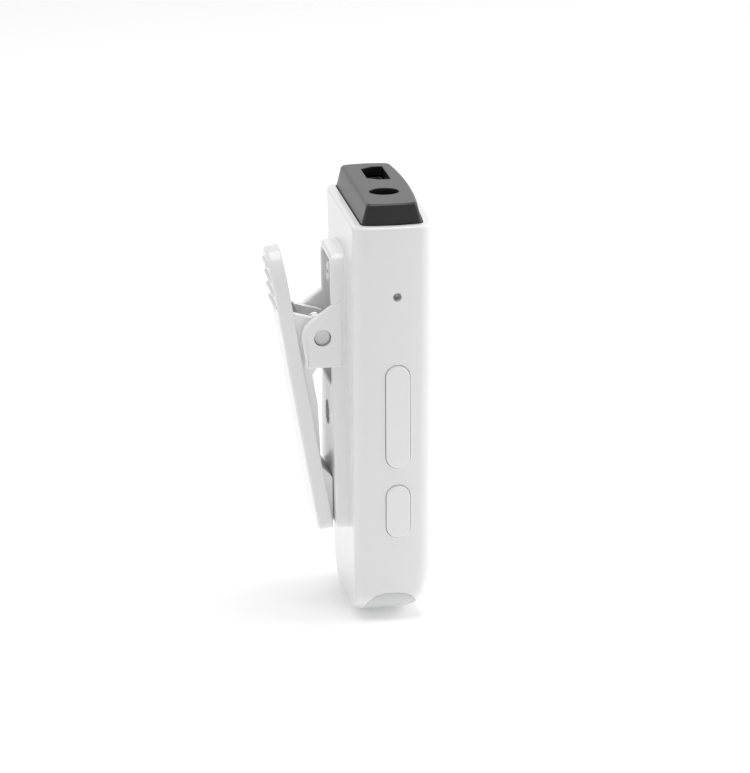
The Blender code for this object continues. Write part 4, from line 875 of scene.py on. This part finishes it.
def clip_arm():
    """Sprung lever with soft outer edges, grip ridges, lugs, ribs and jaw tooth."""
    arm = soft_prism("clip_arm", "Y", lever_outline(), LEVER_OFFSET, LEVER_FACE,
                     LEVER_INNER_EDGE, LEVER_OUTER_EDGE)
    join(arm, lever_lug(-1), lever_lug(1))
    tooth = [(jaw_line(-LEVER_LOWER), -LEVER_LOWER), (LEVER_MIDDLE, -LEVER_LOWER),
             (LEVER_MIDDLE, -TOOTH_START), (LEVER_OFFSET, -TOOTH_START),
             (jaw_line(-TOOTH_CREST), -TOOTH_CREST)]
    join(arm, soft_prism("tooth", "X", tooth, -TOOTH_HALF_WIDTH, TOOTH_HALF_WIDTH))
    join(arm, grip_ridges())
    bore = circle((0.0, 0.0), CLIP_PIN_RADIUS + PIN_CLEARANCE)
    cut(arm, soft_prism("bore", "X", bore, -LEVER_HALF_WIDTH, LEVER_HALF_WIDTH))
    arm.data.transform(LEVER_PLACE)
    settle(arm, "lever", WHITE, "white_shell", "clip_lever")


def clip_screws():
    """Two slotted screws that hold the plate on the case."""
    (upper, top), (lower, _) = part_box("clip_screw_upper"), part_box("clip_screw_lower")
    seat = top.y - SCREW_HEAD_HEIGHT
    screw = soft_prism("screw", "Y", circle((0.0, 0.0), SCREW_HEAD_RADIUS), 0.0, SCREW_HEAD_HEIGHT,
                       end_edge=SCREW_HEAD_EDGE)
    tip = upper.y - seat
    shank = [(tip, SCREW_RADIUS / 2), (tip + SCREW_RADIUS, 0.0), (SCREW_HEAD_HEIGHT / 2, 0.0)]
    join(screw, layered("shank", "Y", circle((0.0, 0.0), SCREW_RADIUS), shank))
    slot = rectangle((-SCREW_SLOT_REACH, -SCREW_SLOT / 2), (SCREW_SLOT_REACH, SCREW_SLOT / 2))
    cut(screw, soft_prism("slot", "Y", slot, SCREW_HEAD_HEIGHT / 2, SCREW_HEAD_HEIGHT + OVERSHOOT))
    middle = (upper.z + top.z) / 2
    screws = repeated("clip_screws", screw, ZINC, 2, (0.0, seat, middle), (0.0, 0.0, lower.z - upper.z))
    settle(screws, "housing", ZINC, "bright_steel", "clip_screw_upper", "clip_screw_lower")


def hinge_pin():
    """Plain pin with chamfered ends, sunk in the ears."""
    end = CLIP_HALF_WIDTH + EAR_PROUD - CLIP_PIN_SINK
    pin = soft_prism("hinge_pin", "X", circle(PIVOT.yz, CLIP_PIN_RADIUS), -end, end, CLIP_PIN_CHAMFER,
                     CLIP_PIN_CHAMFER)
    settle(pin, "housing", PIN_STEEL, "bright_steel", "clip_pin")


def torsion_spring():
    """Wire spring about the pin: one leg on the channel floor, turns, one leg on the lever."""
    count = round(COIL_POINTS * COIL_TURNS)
    coil = []
    for i in range(count + 1):
        angle = math.pi - 2 * math.pi * COIL_TURNS * i / count
        coil.append(Vector((COIL_PITCH * COIL_TURNS * (i / count - 1 / 2), COIL_RADIUS * math.cos(angle),
                            COIL_RADIUS * math.sin(angle))))
    rest = CHANNEL_FLOOR + LEG_CLEARANCE + WIRE_RADIUS - PIVOT.y
    along = Vector((0.0, math.sin(LEVER_LEAN), math.cos(LEVER_LEAN)))
    outward = Vector((0.0, math.cos(LEVER_LEAN), -math.sin(LEVER_LEAN)))
    reach = LEVER_OFFSET - LEG_CLEARANCE - WIRE_RADIUS
    first = Vector((coil[0].x, rest, SPRING_LEG))
    last = Vector((coil[-1].x, 0.0, 0.0)) + along * SPRING_LEG + outward * reach
    wire = bpy.data.curves.new("torsion_spring", "CURVE")
    wire.dimensions = "3D"
    wire.bevel_depth = WIRE_RADIUS
    wire.bevel_resolution = WIRE_SIDES
    wire.use_fill_caps = True
    path = wire.splines.new("POLY")
    points = [first] + coil + [last]
    path.points.add(len(points) - 1)
    for knot, point in zip(path.points, points):
        knot.co = (*(PIVOT + point), 1.0)
    drawn = add_object("wire_path", wire)
    bpy.context.view_layer.update()
    spring = add_object("torsion_spring", bpy.data.meshes.new_from_object(drawn))
    bpy.data.objects.remove(drawn, do_unlink=True)
    settle(spring, None, STEEL, "bright_steel", "clip_spring")
    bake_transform(spring)


# Studio

FLOOR_SIZE = 6.0
FLOOR_COLOUR = (0.94, 0.94, 0.94)
FLOOR_ROUGHNESS = 0.9
FLOOR_SPECULAR = 0.1
FLOOR_GLOW = 0.23
SKY_LIGHT = 0.29


def floor():
    """Plain pale floor that the player stands on, lit a little from below like a light table."""
    half = FLOOR_SIZE / 2
    mesh = bpy.data.meshes.new("floor")
    corners = [(x, y, 0.0) for x, y in rectangle((-half, -half), (half, half))]
    mesh.from_pydata(corners, [], [(0, 1, 2, 3)])
    ground = add_object("floor", mesh)
    material, _, shader = shader_nodes("pale_floor")
    shader.inputs["Base Color"].default_value = (*FLOOR_COLOUR, 1.0)
    shader.inputs["Roughness"].default_value = FLOOR_ROUGHNESS
    shader.inputs["Specular IOR Level"].default_value = FLOOR_SPECULAR
    shader.inputs["Emission Color"].default_value = (*FLOOR_COLOUR, 1.0)
    shader.inputs["Emission Strength"].default_value = FLOOR_GLOW
    mesh.materials.append(material)


def sky():
    """White all round for the eye and for reflections, and an even soft light for the rest."""
    world = bpy.data.worlds.new("studio")
    world.use_nodes = True
    tree = world.node_tree
    tree.nodes.clear()
    ray = tree.nodes.new("ShaderNodeLightPath")
    seen = tree.nodes.new("ShaderNodeMath")
    seen.operation = "MAXIMUM"
    tree.links.new(ray.outputs["Is Camera Ray"], seen.inputs[0])
    tree.links.new(ray.outputs["Is Glossy Ray"], seen.inputs[1])
    through = tree.nodes.new("ShaderNodeMath")
    through.operation = "MAXIMUM"
    tree.links.new(seen.outputs[0], through.inputs[0])
    tree.links.new(ray.outputs["Is Transmission Ray"], through.inputs[1])
    light = tree.nodes.new("ShaderNodeBackground")
    light.inputs["Strength"].default_value = SKY_LIGHT
    white = tree.nodes.new("ShaderNodeBackground")
    for background in (light, white):
        background.inputs["Color"].default_value = (1.0, 1.0, 1.0, 1.0)
    mix = tree.nodes.new("ShaderNodeMixShader")
    tree.links.new(through.outputs[0], mix.inputs["Fac"])
    tree.links.new(light.outputs[0], mix.inputs[1])
    tree.links.new(white.outputs[0], mix.inputs[2])
    output = tree.nodes.new("ShaderNodeOutputWorld")
    tree.links.new(mix.outputs[0], output.inputs["Surface"])
    bpy.context.scene.world = world


def softbox(name, place, size, watts):
    """Square area lamp turned to the middle of the player."""
    lamp = bpy.data.lights.new(name, "AREA")
    lamp.size = size
    lamp.energy = watts
    holder = add_object(name, lamp)
    holder.location = place
    aim = Vector((0.0, 0.0, BODY_HEIGHT / 2)) - Vector(place)
    holder.rotation_euler = aim.to_track_quat("-Z", "Y").to_euler()


# Camera: the photograph's frame is 750 by 773 pixels
IMAGE_WIDTH = 750
IMAGE_HEIGHT = 773
FOCAL_PIXELS = 4230.184
CENTRE_X = 365.343
CENTRE_Y = 391.566
SENSOR = 36.0
CAMERA_TARGET = Vector((0.0, 0.002, 0.0279))
CAMERA_DISTANCE = 0.550
CAMERA_NEAR = 0.01
CAMERA_AZIMUTH = math.radians(261.762)
CAMERA_ELEVATION = math.radians(15.844)
CAMERA_ROLL = math.radians(-0.753)


def camera():
    """Camera at the photograph's angle, its shift set by the photograph's framing."""
    towards = Vector((math.sin(CAMERA_AZIMUTH) * math.cos(CAMERA_ELEVATION),
                      -math.cos(CAMERA_AZIMUTH) * math.cos(CAMERA_ELEVATION), math.sin(CAMERA_ELEVATION)))
    level = Vector((math.cos(CAMERA_AZIMUTH), math.sin(CAMERA_AZIMUTH), 0.0))
    above = towards.cross(level)
    right = level * math.cos(CAMERA_ROLL) + above * math.sin(CAMERA_ROLL)
    up = above * math.cos(CAMERA_ROLL) - level * math.sin(CAMERA_ROLL)
    lens = bpy.data.cameras.new("camera")
    lens.sensor_fit = "HORIZONTAL"
    lens.sensor_width = SENSOR
    lens.lens = FOCAL_PIXELS * SENSOR / IMAGE_WIDTH
    lens.shift_x = (IMAGE_WIDTH / 2 - CENTRE_X) / IMAGE_WIDTH
    lens.shift_y = (CENTRE_Y - IMAGE_HEIGHT / 2) / IMAGE_WIDTH
    lens.clip_start = CAMERA_NEAR
    holder = add_object("camera", lens)
    turn = Matrix((right, up, towards)).transposed().to_4x4()
    holder.matrix_world = Matrix.Translation(CAMERA_TARGET + towards * CAMERA_DISTANCE) @ turn
    bpy.context.scene.camera = holder


finish_carried_over()
case()
bottom_window()
end_cap()
volume_key()
play_key()
socket_contacts()
microphone_weave()
clip_plate()
clip_screws()
clip_arm()
hinge_pin()
torsion_spring()
floor()
sky()
softbox("clip_side_light", (0.20, 0.55, 0.35), size=0.50, watts=0.5)
softbox("front_side_light", (0.05, -0.60, 0.30), size=0.50, watts=2.2)
softbox("top_light", (0.0, 0.0, 0.90), size=0.60, watts=4.3)
camera()
bpy.context.scene.view_settings.view_transform = "Standard"
